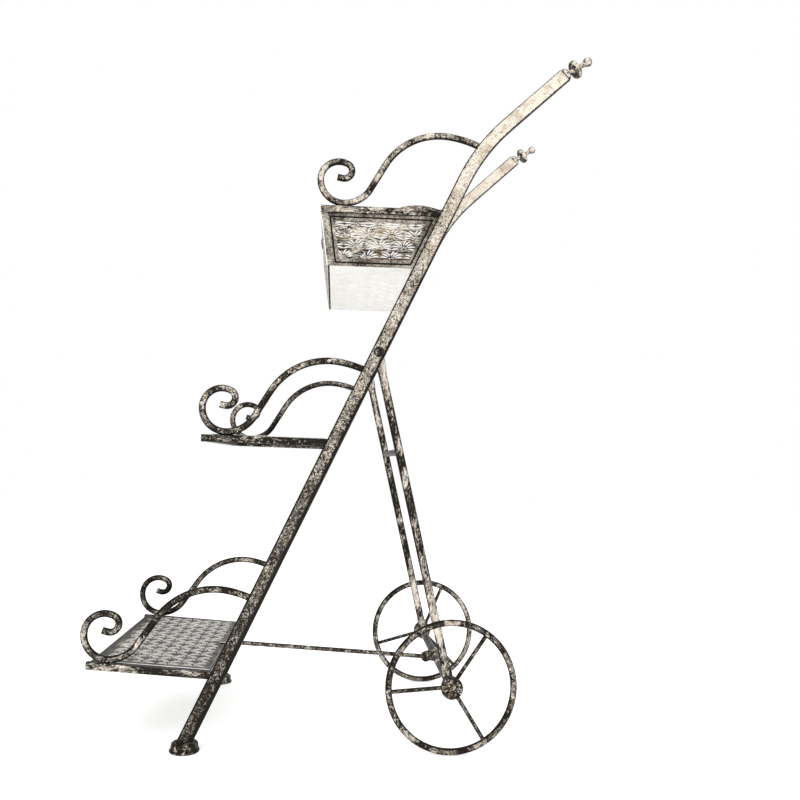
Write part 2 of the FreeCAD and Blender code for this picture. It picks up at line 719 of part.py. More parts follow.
def build_hinge_bolt(name, side):
    """Domed bolt through rail, bush, strut and nut; its head is outside."""
    body = new_body(name)
    radius, head_r, head_h = size("bolt_radius"), size("bolt_head_radius"), size("bolt_head_height")
    length = rail_outer_x - tab_inner_x + size("face_clearance") + size("nut_height") + radius / 2
    outline = [
        Part.LineSegment(point(0, -length), point(radius, -length)),
        Part.LineSegment(point(radius, -length), point(radius, 0)),
        Part.LineSegment(point(radius, 0), point(head_r, 0)),
        Part.LineSegment(point(head_r, 0), point(head_r, head_h / 4)),
        dome(head_r, head_h / 4, head_h),
        Part.LineSegment(point(0, head_h), point(0, -length)),
    ]
    add_turning(body, outline)
    keep(body, name, Placement(hinge_point(side, rail_outer_x), outward(side)))


def build_ring(name, outer, inner, length, start, rotation):
    """Part::Cut of two cylinders: a plain ring or tube."""
    solid = primitive("Cylinder", "Outer_" + name, Radius=outer, Height=length)
    hole = primitive("Cylinder", "Inner_" + name, Radius=inner, Height=length)
    ring = cut("Ring_" + name, solid, hole)
    ring.Placement = Placement(start, rotation)
    return ring


def group(name, pieces):
    """Identical pieces that share one node."""
    compound = doc.addObject("Part::Compound", "Group_" + name)
    compound.Links = pieces
    keep(compound, name)


def build_hinge_bushes():
    bushes = []
    for hand, side in SIDES:
        start = hinge_point(side, tab_outer_x + size("face_clearance"))
        bushes.append(build_ring("hinge_bush_" + hand, "Sizes.bush_radius",
                                 "Sizes.bolt_radius + Sizes.pin_clearance", "Sizes.bush_length",
                                 start, outward(side)))
    group("hinge_bushes", bushes)


def build_nut(name, start, rotation, radius):
    """Hexagon nut from a start point, along the rotation's Z."""
    prism = doc.addObject("Part::Prism", "Prism_" + name)
    prism.Polygon = 6
    prism.setExpression("Circumradius", "Sizes.nut_flat / sqrt(3)")
    prism.setExpression("Height", "Sizes.nut_height")
    hole = primitive("Cylinder", "Thread_" + name, Radius=radius, Height="Sizes.nut_height")
    nut = cut("Nut_" + name, prism, hole)
    nut.Placement = Placement(start, rotation)
    return nut


def build_hinge_nuts():
    nuts = []
    for hand, side in SIDES:
        start = hinge_point(side, tab_inner_x - size("face_clearance") - size("nut_height"))
        nuts.append(build_nut("hinge_" + hand, start, outward(side), "Sizes.bolt_radius"))
    group("hinge_nuts", nuts)


# ---------------------------------------------------------------- rear frame

strut_turn = Rotation(Vector(1, 0, 0), 180 + strut_lean)


def flat_outline(height):
    """Section of a flattened end: four edges, to loft from the round tube."""
    half, edge = size("tab_width") / 2, size("tab_thickness") / 2
    straight = half - edge
    corners = [Vector(edge, -straight, height), Vector(edge, straight, height),
               Vector(-edge, straight, height), Vector(-edge, -straight, height)]
    edges = [
        Part.LineSegment(corners[0], corners[1]).toShape(),
        Part.Arc(corners[1], Vector(0, half, height), corners[2]).toShape(),
        Part.LineSegment(corners[2], corners[3]).toShape(),
        Part.Arc(corners[3], Vector(0, -half, height), corners[0]).toShape(),
    ]
    return Part.Wire(edges)


def round_outline(height):
    """The tube's own section, in four edges that match the flattened ones."""
    radius = size("strut_radius")
    edges = []
    for quarter in range(4):
        start = -45 + 90 * quarter
        places = [Vector(radius * cos(start + step), radius * sin(start + step), height)
                  for step in (0, 45, 90)]
        edges.append(Part.Arc(*places).toShape())
    return Part.Wire(edges)


def strut_end(hole_radius):
    """Flattened end about the origin with its hole, up to where the tube is round."""
    flat, taper = size("tab_length"), size("taper_length")
    half, thick = size("tab_width") / 2, size("tab_thickness")
    across = Rotation(Vector(0, 1, 0), 90)
    disc = Part.makeCylinder(half, thick)
    disc.Placement = Placement(Vector(-thick / 2, 0, 0), across)
    tongue = Part.Face(flat_outline(0)).extrude(Vector(0, 0, flat))
    widening = Part.makeLoft([flat_outline(flat), round_outline(flat + taper)], True)
    hole = Part.makeCylinder(hole_radius, 2 * thick)
    hole.Placement = Placement(Vector(-thick, 0, 0), across)
    return disc.fuse([tongue, widening]).cut(hole)


def build_strut(name, side):
    """Tube with flattened ends, from the hinge bolt down to the axle."""
    radius, wall = size("strut_radius"), size("strut_wall")
    round_from = size("tab_length") + size("taper_length")
    tube = Part.makeCylinder(radius, strut_length - 2 * round_from, Vector(0, 0, round_from))
    top = strut_end(size("bolt_radius") + size("pin_clearance"))
    bottom = strut_end(size("axle_radius") + size("pin_clearance"))
    bottom.Placement = Placement(Vector(0, 0, strut_length), Rotation(Vector(1, 0, 0), 180))
    bore = Part.makeCylinder(radius - wall, strut_length - 2 * round_from, Vector(0, 0, round_from))
    strut = doc.addObject("Part::Feature", "Strut_" + name)
    strut.Shape = tube.fuse([top, bottom]).cut(bore).removeSplitter()
    keep(strut, name, Placement(hinge_point(side, strut_x), strut_turn))


def build_brace():
    """Rod between the struts, its ends shaped to the tubes."""
    brace = primitive("Cylinder", "Brace_rod", Radius="Sizes.brace_radius")
    brace.Height = 2 * strut_x
    along = strut_turn.multVec(Vector(0, 0, size("brace_drop")))
    middle = Vector(0, hinge_y, hinge_z) + along
    brace.Placement = Placement(middle - Vector(strut_x, 0, 0), outward(1))
    for hand, side in SIDES:
        tube = primitive("Cylinder", "Tube_" + hand, Radius="Sizes.strut_radius")
        tube.Height = strut_length
        tube.Placement = Placement(hinge_point(side, strut_x), strut_turn)
        brace = cut("Brace_cut_" + hand, brace, tube)
    keep(brace, "strut_brace")


hub_inner_x = tab_outer_x + 4 * size("retainer_thickness")
drum_outer_x = wheel_x + size("drum_width") / 2
axle_end_x = drum_outer_x + size("cap_recess_depth") - size("face_clearance")


def axle_point(x):
    return Vector(x, axle_y, axle_z)


def build_axle():
    axle = primitive("Cylinder", "Axle_rod", Radius="Sizes.axle_radius")
    axle.Height = 2 * axle_end_x
    keep(axle, "axle", Placement(axle_point(-axle_end_x), outward(1)))


def build_axle_tube():
    tube = build_ring("axle_tube", "Sizes.axle_tube_radius", "Sizes.axle_radius + Sizes.pin_clearance",
                      2 * tab_inner_x, axle_point(-tab_inner_x), outward(1))
    keep(tube, "axle_tube")


def build_axle_washers():
    washers = []
    thickness = hub_inner_x - tab_outer_x - size("face_clearance")
    for hand, side in SIDES:
        washers.append(build_ring("washer_" + hand, "Sizes.hub_radius",
                                  "Sizes.axle_radius + Sizes.pin_clearance", thickness,
                                  axle_point(side * tab_outer_x), outward(side)))
    group("axle_washers", washers)


def build_axle_retainers():
    retainers = []
    for hand, side in SIDES:
        start = axle_point(side * (drum_outer_x + size("face_clearance")))
        retainers.append(build_ring("retainer_" + hand, "Sizes.retainer_radius", "Sizes.axle_radius",
                                    "Sizes.retainer_thickness", start, outward(side)))
    group("axle_retainers", retainers)


stay_bolt_y = axle_y - size("lug_reach")
stay_bolt_z = axle_z - size("lug_drop")


def link_outline(first, first_radius, second, second_radius):
    """Outline round two circles and the straight sides between them."""
    distance = math.hypot(second[0] - first[0], second[1] - first[1])
    heading = math.degrees(math.atan2(second[1] - first[1], second[0] - first[0]))
    spread = math.degrees(math.acos((first_radius - second_radius) / distance))
    upper, lower = heading + spread, heading - spread

    def on(centre, radius, angle):
        return point(centre[0] + radius * cos(angle), centre[1] + radius * sin(angle))

    return [
        arc(first[0], first[1], first_radius, upper, lower + 360),
        Part.LineSegment(on(first, first_radius, lower), on(second, second_radius, lower)),
        arc(second[0], second[1], second_radius, lower, upper),
        Part.LineSegment(on(second, second_radius, upper), on(first, first_radius, upper)),
    ]


def build_stay_lug():
    """Lug on the middle of the axle tube, for the stay's bolt."""
    body = new_body("stay_lug")
    bolt = (-size("lug_reach"), -size("lug_drop"))
    outline = link_outline((0, 0), size("lug_radius"), bolt, size("lug_eye_radius"))
    add_pad(body, "YZ_Plane", outline, "Sizes.lug_thickness", midplane=True)
    gap = size("pin_clearance")
    holes = [circle(0, 0, size("axle_tube_radius") + gap),
             circle(bolt[0], bolt[1], size("stay_bolt_radius") + gap)]
    add_pocket(body, "YZ_Plane", holes, "2 * Sizes.lug_thickness", midplane=True)
    keep(body, "stay_lug", Placement(axle_point(0), Rotation()))


stay_x = (size("lug_thickness") + size("stay_eye_thickness")) / 2 + size("face_clearance")
stay_outer_x = stay_x + size("stay_eye_thickness") / 2 + size("face_clearance")


def build_stay_bolt():
    """Bolt through the stay's eye and the lug, with its nut on the far side."""
    body = new_body("stay_bolt")
    radius, head_r, head_h = size("stay_bolt_radius"), size("stay_head_radius"), size("stay_head_height")
    length = stay_outer_x + size("lug_thickness") / 2 + size("nut_height") + radius / 2
    outline = [
        Part.LineSegment(point(0, -length), point(radius, -length)),
        Part.LineSegment(point(radius, -length), point(radius, 0)),
        Part.LineSegment(point(radius, 0), point(head_r, 0)),
        Part.LineSegment(point(head_r, 0), point(head_r, head_h / 3)),
        dome(head_r, head_h / 3, head_h),
        Part.LineSegment(point(0, head_h), point(0, -length)),
    ]
    add_turning(body, outline)
    keep(body, "stay_bolt", Placement(Vector(stay_outer_x, stay_bolt_y, stay_bolt_z), outward(1)))
    start = Vector(-size("lug_thickness") / 2, stay_bolt_y, stay_bolt_z)
    keep(build_nut("stay", start, outward(-1), "Sizes.stay_bolt_radius"), "stay_nut")


# ---------------------------------------------------------------- stay

def build_stay(tier):
    """Rod with an eye on the axle's lug and a hook over the bottom shelf's rear bar."""
    height, _, tilt = tier
    radius, bend = size("stay_radius"), size("hook_bend")
    frame = tier_placement(height, tilt)
    rear_bar = size("rear_bar_middle")
    rod_rise = half_bar + size("hook_gap") + radius
    finger_y = rear_bar - half_bar - size("hook_gap") - radius
    over = frame.multVec(Vector(0, finger_y + bend, rod_rise))
    reach, rise = stay_bolt_y - over.y, over.z - stay_bolt_z
    slope = math.degrees(math.atan2(rise, reach))
    finger_run = size("hook_drop") - (bend - size("hook_gap") - radius)
    steps = (("run", math.hypot(reach, rise), 0), ("turn", bend, 90 + slope - tilt),
             ("run", finger_run, 0))
    path, tip, _ = smooth_line((0, 0), 180, steps)
    body = new_body("stay_rod")
    add_pipe(body, "XZ_Plane", [circle(0, 0, radius)], path)
    add_pad(body, "YZ_Plane", [circle(0, 0, size("stay_eye_radius"))], "Sizes.stay_eye_thickness",
            midplane=True)
    hole = [circle(0, 0, size("stay_bolt_radius") + size("pin_clearance"))]
    add_pocket(body, "YZ_Plane", hole, "2 * Sizes.stay_eye_thickness", midplane=True)
    ball = body.newObject("PartDesign::AdditiveSphere", "Rounded_tip")
    ball.setExpression("Radius", "Sizes.stay_radius")
    ball.Placement = Placement(Vector(0, tip[0], tip[1]), Rotation())
    keep(body, "stay_rod", Placement(Vector(stay_x, stay_bolt_y, stay_bolt_z),
                                     Rotation(Vector(1, 0, 0), -slope)))


# ---------------------------------------------------------------- wheels

def build_rim(name, side):
    rim = primitive("Torus", "Rim_" + name, Radius1="Sizes.wheel_radius - Sizes.rim_rod_radius",
                    Radius2="Sizes.rim_rod_radius")
    keep(rim, name, Placement(axle_point(side * wheel_x), outward(side)))


def build_spokes(name, side, angles):
    """Three rods between drum and rim, shaped to both."""
    rods = []
    for index, angle in enumerate(angles):
        rod = primitive("Cylinder", f"Rod{index}_{name}", Radius="Sizes.spoke_radius",
                        Height="Sizes.wheel_radius - Sizes.rim_rod_radius")
        rod.Placement = Placement(axle_point(side * wheel_x), Rotation(Vector(1, 0, 0), angle - 90))
        rods.append(rod)
    fan = doc.addObject("Part::MultiFuse", "Fan_" + name)
    fan.Shapes = rods
    drum = primitive("Cylinder", "Drum_" + name, Radius="Sizes.drum_radius", Height="4 * Sizes.drum_width")
    drum.Placement = Placement(axle_point(side * (wheel_x - 2 * size("drum_width"))), outward(side))
    rim = primitive("Torus", "Edge_" + name, Radius1="Sizes.wheel_radius - Sizes.rim_rod_radius",
                    Radius2="Sizes.rim_rod_radius")
    rim.Placement = Placement(axle_point(side * wheel_x), outward(side))
    keep(cut("Trimmed_" + name, cut("Open_" + name, fan, drum), rim), name)


def build_hub(name, side):
    """Turned hub: barrel on the axle, drum for the spokes."""
    body = new_body(name)
    bore = size("axle_radius") + size("pin_clearance")
    barrel, drum = size("hub_radius"), size("drum_radius")
    step = wheel_x - size("drum_width") / 2
    inner, outer = hub_inner_x, drum_outer_x
    outline = polygon([(bore, inner), (barrel, inner), (barrel, step), (drum, step),
                       (drum, outer), (bore, outer)])
    add_turning(body, outline)
    keep(body, name, Placement(axle_point(0), outward(side)))


def build_hub_cap(name, side):
    """Round cap with a soft edge, hollow over the axle's end."""
    body = new_body(name)
    radius, height = size("cap_radius"), size("cap_height")
    hollow, depth = size("cap_recess_radius"), size("cap_recess_depth")
    edge = height / 2
    outline = [
        Part.LineSegment(point(0, depth), point(hollow, depth)),
        Part.LineSegment(point(hollow, depth), point(hollow, 0)),
        Part.LineSegment(point(hollow, 0), point(radius, 0)),
        Part.LineSegment(point(radius, 0), point(radius, height - edge)),
        arc(radius - edge, height - edge, edge, 0, 90),
        Part.LineSegment(point(radius - edge, height), point(0, height)),
        Part.LineSegment(point(0, height), point(0, depth)),
    ]
    add_turning(body, outline)
    keep(body, name, Placement(axle_point(side * drum_outer_x), outward(side)))


# ---------------------------------------------------------------- assembly

BOTTOM = (size("bottom_height"), size("bottom_reach"), size("bottom_tilt"))
MIDDLE = (size("middle_height"), size("middle_reach"), size("middle_tilt"))
BASKET = (size("knee_height") - size("basket_drop"), size("basket_reach"), size("basket_tilt"))

for hand, side in SIDES:
    build_rail("rail_" + hand, side)
    build_foot("foot_" + hand, side)
    build_ferrule("handle_ferrule_" + hand, side)
    build_finial("handle_finial_" + hand, side)
    build_hinge_bolt("hinge_bolt_" + hand, side)
    build_strut("strut_" + hand, side)
    build_rim(f"wheel_{hand}_rim", side)
    build_hub(f"wheel_{hand}_hub", side)
    build_hub_cap(f"wheel_{hand}_cap", side)
build_spokes("wheel_left_spokes", -1, SPOKES_LEFT)
build_spokes("wheel_right_spokes", 1, SPOKES_RIGHT)
build_hinge_bushes()
build_hinge_nuts()
build_shelf("bottom", BOTTOM)
notch_left, notch_right = stay_x - size("notch_width") / 2, stay_x + size("notch_width") / 2
notch_front = -size("sheet_to_rail") - size("notch_depth")
build_shelf_sheet("bottom_sheet", BOTTOM,
                  ((notch_right, -size("sheet_to_rail")), (notch_right, notch_front),
                   (notch_left, notch_front), (notch_left, -size("sheet_to_rail"))))
build_shelf("middle", MIDDLE)
build_shelf_sheet("middle_sheet", MIDDLE)
build_basket(BASKET)
build_brace()
build_axle()
build_axle_tube()
build_axle_washers()
build_axle_retainers()
build_stay_lug()
build_stay_bolt()
build_stay(BOTTOM)

doc.recompute()

# ---------------------------------------------------------------- check and export

for item in doc.Objects:
    if "Invalid" in item.State or "Error" in item.State:
        raise ValueError(item.Name + " failed: " + str(item.State))
for name, piece in sub_parts.items():
    if piece.Shape.isNull() or not piece.Shape.isValid():
        raise ValueError(name + " has no valid shape")

os.makedirs("parts", exist_ok=True)
for name, piece in sub_parts.items():
    piece.Shape.exportStep(os.path.join("parts", name + ".step"))

whole = Part.makeCompound([piece.Shape for piece in sub_parts.values()]).BoundBox
print(len(sub_parts), "sub-parts")
print("box", [round(v, 2) for v in (whole.XMin, whole.YMin, whole.ZMin, whole.XMax, whole.YMax, whole.ZMax)])
print("hinge", round(hinge_y, 3), round(hinge_z, 3), "axle", round(axle_y, 3), round(axle_z, 3))
print("stay bolt", round(stay_bolt_y, 3), round(stay_bolt_z, 3))
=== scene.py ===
"""Flower cart stand: antique finishes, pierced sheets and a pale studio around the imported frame."""
import math

import bmesh
import bpy
from mathutils import Matrix, Vector


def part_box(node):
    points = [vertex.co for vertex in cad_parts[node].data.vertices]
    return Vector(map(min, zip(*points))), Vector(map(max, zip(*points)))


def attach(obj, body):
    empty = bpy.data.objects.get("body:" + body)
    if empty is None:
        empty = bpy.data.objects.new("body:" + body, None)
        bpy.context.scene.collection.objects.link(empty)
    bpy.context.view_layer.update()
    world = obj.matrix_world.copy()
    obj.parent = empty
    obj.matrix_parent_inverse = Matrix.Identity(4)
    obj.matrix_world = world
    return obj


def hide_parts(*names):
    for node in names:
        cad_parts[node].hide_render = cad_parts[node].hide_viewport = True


bl_info = {
    "name": "Flower Cart Stand",
    "version": (1, 0, 0),
    "blender": (4, 5, 0),
    "location": "View3D > Sidebar > Flower Cart",
    "description": "Antique finishes, pierced leaf sheets and a pale studio for a folding flower cart",
    "category": "Object",
}

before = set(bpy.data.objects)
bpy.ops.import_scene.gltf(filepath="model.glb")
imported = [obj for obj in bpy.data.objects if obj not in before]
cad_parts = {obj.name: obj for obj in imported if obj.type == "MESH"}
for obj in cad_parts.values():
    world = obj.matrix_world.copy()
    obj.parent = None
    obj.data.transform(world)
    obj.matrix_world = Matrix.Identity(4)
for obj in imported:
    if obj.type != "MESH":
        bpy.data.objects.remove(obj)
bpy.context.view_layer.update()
MM = 0.001
SIDES = (("left", -1), ("right", 1))
COLOR, FLOAT, VECTOR = "NodeSocketColor", "NodeSocketFloat", "NodeSocketVector"

# rise of each shelf to the front and lean of the basket's front, in degrees
TILTS = {"bottom": 4.0, "middle": 0.5, "basket": -0.5}
FRONT_PANEL_LEAN = 8.0

# middle line of the bent rails, as the frame was built
LEG_LEAN = 24.6
HANDLE_RISE = 43.6
BEND_RADIUS = 280 * MM
KNEE_HEIGHT = 846 * MM
FOOT_HEIGHT = 13 * MM
FOOT_TO_AXLE = 355 * MM
HALF_RAIL = 10 * MM

# folded edges and borders of the sheets
WALL = 1.2 * MM
FLANGE = 10 * MM
BORDER = 4 * MM
GROOVE = 2.5 * MM
NOTCH_HALF = 7.5 * MM
NOTCH_DEPTH = 8 * MM
PLAIN_RIM = 6 * MM
FEWEST_FACES = 50

# the antique coat; the dark colour also serves as painted shade and the pale one as painted highlight, where
# the materials put them
DARK_COAT = (0.009, 0.007, 0.005, 1)
PALE_PATINA = (0.73, 0.66, 0.565, 1)
BROWN_TINT = (0.3, 0.2, 0.11, 1)


# ---------------------------------------------------------------- user settings

class CartSizes(bpy.types.PropertyGroup):
    """Sizes of the pierced ornament."""
    fan_pitch: bpy.props.FloatProperty(
        name="Fan Pitch", description="From one fan of leaves to the next in its row",
        default=34 * MM, min=20 * MM, unit="LENGTH")
    row_pitch: bpy.props.FloatProperty(
        name="Row Pitch", description="From one row of fans to the next",
        default=16 * MM, min=10 * MM, unit="LENGTH")
    leaf_length: bpy.props.FloatProperty(
        name="Leaf Length", description="Length of a pierced leaf",
        default=10.4 * MM, min=2 * MM, unit="LENGTH")
    leaf_width: bpy.props.FloatProperty(
        name="Leaf Width", description="Greatest width of a pierced leaf",
        default=2.0 * MM, min=0.5 * MM, unit="LENGTH")
    sheet: bpy.props.FloatProperty(
        name="Sheet", description="Thickness of the pierced sheet metal",
        default=0.8 * MM, min=0.4 * MM, max=WALL, unit="LENGTH")
    leaves: bpy.props.IntProperty(
        name="Leaves", description="Leaves in the outer ring of a fan", default=9, min=3, max=15)


class CartColours(bpy.types.PropertyGroup):
    """Colours of the worn antique coat."""
    # the dark coat also paints the shade along the rails' edges and in the side panels' border grooves
    dark: bpy.props.FloatVectorProperty(
        name="Dark Coat", description="Brown-black paint in the hollows",
        subtype="COLOR", size=4, default=DARK_COAT)
    # the pale patina also paints the highlight on faces that look to the sides
    pale: bpy.props.FloatVectorProperty(
        name="Pale Patina", description="Greige patina on rubbed faces",
        subtype="COLOR", size=4, default=PALE_PATINA)
    brown: bpy.props.FloatVectorProperty(
        name="Brown Tint", description="Warm brown in worn patches",
        subtype="COLOR", size=4, default=BROWN_TINT)
    # painted light: near-white on the basket's floor for the light washing over it, and on the cut edges of
    # the piercings where the bright ground shows through
    painted_light_white: bpy.props.FloatVectorProperty(
        name="Painted Light White", description="Chalky coat of the basket's floor and of worn edges",
        subtype="COLOR", size=4, default=(0.97, 0.96, 0.93, 1))


# ---------------------------------------------------------------- node helpers

def put(tree, kind, **settings):
    """A new node with the given settings."""
    node = tree.nodes.new(kind)
    for name, value in settings.items():
        setattr(node, name, value)
    return node


def feed(tree, source, node, socket):
    """Sets a node's input, given by name or place, or links a socket to it."""
    target = node.inputs[socket]
    if isinstance(source, bpy.types.NodeSocket):
        tree.links.new(source, target)
    else:
        target.default_value = source


def math_node(tree, operation, first, second=None, third=None, clamp=False):
    node = put(tree, "ShaderNodeMath", operation=operation, use_clamp=clamp)
    for place, value in enumerate((first, second, third)):
        if value is not None:
            feed(tree, value, node, place)
    return node.outputs[0]


def smooth_range(tree, value, low, high, to_low=0.0, to_high=1.0):
    node = put(tree, "ShaderNodeMapRange", interpolation_type="SMOOTHSTEP")
    for name, amount in (("Value", value), ("From Min", low), ("From Max", high),
                         ("To Min", to_low), ("To Max", to_high)):
        feed(tree, amount, node, name)
    return node.outputs["Result"]


def mix_colour(tree, factor, first, second, blend="MIX"):
    node = put(tree, "ShaderNodeMix", data_type="RGBA", blend_type=blend)
    for place, value in ((0, factor), (6, first), (7, second)):
        feed(tree, value, node, place)
    return node.outputs[2]


def noise(tree, vector, scale, detail=3.0, roughness=0.55, distortion=0.0):
    node = put(tree, "ShaderNodeTexNoise")
    for name, value in (("Vector", vector), ("Scale", scale), ("Detail", detail),
                        ("Roughness", roughness), ("Distortion", distortion)):
        feed(tree, value, node, name)
    return node.outputs["Fac"]


def new_group(name, inputs, outputs):
    """A shader group with named sockets: (name, type, default) each."""
    group = bpy.data.node_groups.new(name, "ShaderNodeTree")
    for direction, sockets in (("INPUT", inputs), ("OUTPUT", outputs)):
        for label, kind, default in sockets:
            socket = group.interface.new_socket(label, in_out=direction, socket_type=kind)
            if default is not None:
                socket.default_value = default
    return group, put(group, "NodeGroupInput"), put(group, "NodeGroupOutput")


def mix_value(tree, factor, first, second):
    node = put(tree, "ShaderNodeMix", data_type="FLOAT")
    for place, value in ((0, factor), (2, first), (3, second)):
        feed(tree, value, node, place)
    return node.outputs[0]


def separate(tree, vector):
    node = put(tree, "ShaderNodeSeparateXYZ")
    feed(tree, vector, node, 0)
    return node.outputs


def combine(tree, x=0.0, y=0.0, z=0.0):
    node = put(tree, "ShaderNodeCombineXYZ")
    for place, value in enumerate((x, y, z)):
        feed(tree, value, node, place)
    return node.outputs[0]


def aged_coat_group():
    """Brown-black paint rubbed back to a pale patina, with fine hammered speckle; its rub level also carries
    the painted shade and highlights that the materials add.
    """
    group, given, result = new_group("Aged Coat", (
        ("Vector", VECTOR, None),
        ("Dark", COLOR, DARK_COAT),
        ("Pale", COLOR, PALE_PATINA),
        ("Brown", COLOR, BROWN_TINT),
        ("Rub and Painted Light", FLOAT, 0.3),
        ("Patch Size", FLOAT, 30.0),
        ("Patch Strength", FLOAT, 1.5),
        ("Speckle Size", FLOAT, 280.0),
        ("Speckle Strength", FLOAT, 2.4),
        ("Tint", FLOAT, 0.4),
    ), (("Color", COLOR, None), ("Roughness", FLOAT, None), ("Height", FLOAT, None)))
    at = given.outputs
    patches = noise(group, at["Vector"], at["Patch Size"], detail=4.0, distortion=0.6)
    speckle = noise(group, at["Vector"], at["Speckle Size"], detail=3.0, roughness=0.6, distortion=1.2)
    veins = noise(group, at["Vector"], math_node(group, "MULTIPLY", at["Speckle Size"], 0.5),
                  detail=2.0, distortion=2.5)
    line = math_node(group, "ABSOLUTE", math_node(group, "SUBTRACT", veins, 0.5))
    line = smooth_range(group, line, 0.0, 0.04, 1.0, 0.0)
    spread = math_node(group, "MULTIPLY", math_node(group, "SUBTRACT", patches, 0.5), at["Patch Strength"])
    grain = math_node(group, "MULTIPLY", math_node(group, "SUBTRACT", speckle, 0.5), at["Speckle Strength"])
    level = math_node(group, "ADD", math_node(group, "ADD", spread, grain), at["Rub and Painted Light"])
    level = math_node(group, "SUBTRACT", level, math_node(group, "MULTIPLY", line, 0.2))
    level = smooth_range(group, level, 0.1, 0.9)
    tint = smooth_range(group, noise(group, at["Vector"], 48.0, detail=3.0), 0.45, 0.64)
    warm = mix_colour(group, math_node(group, "MULTIPLY", tint, at["Tint"]), at["Pale"], at["Brown"])
    feed(group, mix_colour(group, level, at["Dark"], warm), result, "Color")
    feed(group, smooth_range(group, level, 0.0, 1.0, 0.42, 0.68), result, "Roughness")
    feed(group, level, result, "Height")
    return group


def side_sheen_group():
    """Mask of the faces that look to the sides, soft round bars and corners, where a painted highlight is
    laid.
    """
    group, given, result = new_group("Side Sheen", (
        ("Normal", VECTOR, None), ("Start", FLOAT, 0.45), ("Full", FLOAT, 0.95),
    ), (("Side", FLOAT, None),))
    across = math_node(group, "ABSOLUTE", separate(group, given.outputs["Normal"])["X"])
    side = smooth_range(group, across, given.outputs["Start"], given.outputs["Full"])
    feed(group, side, result, "Side")
    return group


def rail_across_group():
    """How far a point lies across the bent rail: -1 at its front edge, 1 at its rear edge."""
    group, given, result = new_group("Rail Across", (("Vector", VECTOR, None),), (("Across", FLOAT, None),))
    place = separate(group, given.outputs["Vector"])
    y, z = place["Y"], place["Z"]
    axle_y = (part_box("axle")[0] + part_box("axle")[1])[1] / 2
    lean, rise = math.radians(LEG_LEAN), math.radians(HANDLE_RISE)
    tangent = BEND_RADIUS * math.tan((math.pi / 2 - rise - lean) / 2)
    start_z = KNEE_HEIGHT - tangent * math.cos(lean)
    end_z = KNEE_HEIGHT + tangent * math.sin(rise)

    def leg_y(height):
        return axle_y - FOOT_TO_AXLE + (height - FOOT_HEIGHT) * math.tan(lean)

    def beside(angle, through_y, through_z):
        """Distance to the rear of a line that leans by the angle through a point."""
        sideways = math_node(group, "MULTIPLY", math_node(group, "SUBTRACT", y, through_y), math.cos(angle))
        return math_node(group, "MULTIPLY_ADD", math_node(group, "SUBTRACT", z, through_z),
                         -math.sin(angle), sideways)

    leg = beside(lean, leg_y(0.0), 0.0)
    handle = beside(math.pi / 2 - rise, leg_y(KNEE_HEIGHT), KNEE_HEIGHT)
    middle_y = leg_y(start_z) + BEND_RADIUS * math.cos(lean)
    middle_z = start_z - BEND_RADIUS * math.sin(lean)
    off = put(group, "ShaderNodeVectorMath", operation="LENGTH")
    feed(group, combine(group, 0.0, math_node(group, "SUBTRACT", y, middle_y),
                        math_node(group, "SUBTRACT", z, middle_z)), off, 0)
    bend = math_node(group, "SUBTRACT", BEND_RADIUS, off.outputs["Value"])
    upper = mix_value(group, math_node(group, "GREATER_THAN", z, end_z), bend, handle)
    across = mix_value(group, math_node(group, "GREATER_THAN", z, start_z), leg, upper)
    feed(group, math_node(group, "DIVIDE", across, HALF_RAIL), result, "Across")
    return group


def rail_edge_shade(tree, position, level):
    """Painted shade on a rail: darkens its level along its front edge, and in a broader band along its rear
    edge.
    """
    across = put(tree, "ShaderNodeGroup", node_tree=bpy.data.node_groups["Rail Across"])
    feed(tree, position, across, "Vector")
    band = separate(tree, position)["Z"]
    start = smooth_range(tree, band, 0.2, 0.9, 0.3, 0.78)
    rear = smooth_range(tree, across.outputs[0], start, 0.94)
    front = smooth_range(tree, across.outputs[0], -0.98, -0.72, 1.0, 0.0)
    dark = math_node(tree, "MAXIMUM", rear, front)
    return math_node(tree, "MULTIPLY_ADD", dark, -0.9, level)


def pressed_lines_group():
    """Wavy lines that run from front to rear over pressed sheet."""
    group, given, result = new_group("Pressed Lines", (
        ("Vector", VECTOR, None), ("Spacing", FLOAT, 4.0 * MM), ("Waviness", FLOAT, 14.0),
    ), (("Line", FLOAT, None), ("Swell", FLOAT, None)))
    place = separate(group, given.outputs["Vector"])
    across = math_node(group, "ADD", place["X"], place["Z"])
    wave = put(group, "ShaderNodeTexWave", wave_type="BANDS", bands_direction="X")
    feed(group, combine(group, across, math_node(group, "MULTIPLY", place["Y"], 0.55)), wave, "Vector")
    feed(group, math_node(group, "DIVIDE", math.tau / 20, given.outputs["Spacing"]), wave, "Scale")
    for name, value in (("Distortion", given.outputs["Waviness"]), ("Detail", 2.0), ("Detail Scale", 0.8)):
        feed(group, value, wave, name)
    swell = wave.outputs["Fac"]
    feed(group, smooth_range(group, swell, 0.06, 0.3, 1.0, 0.0), result, "Line")
    feed(group, swell, result, "Swell")
    return group


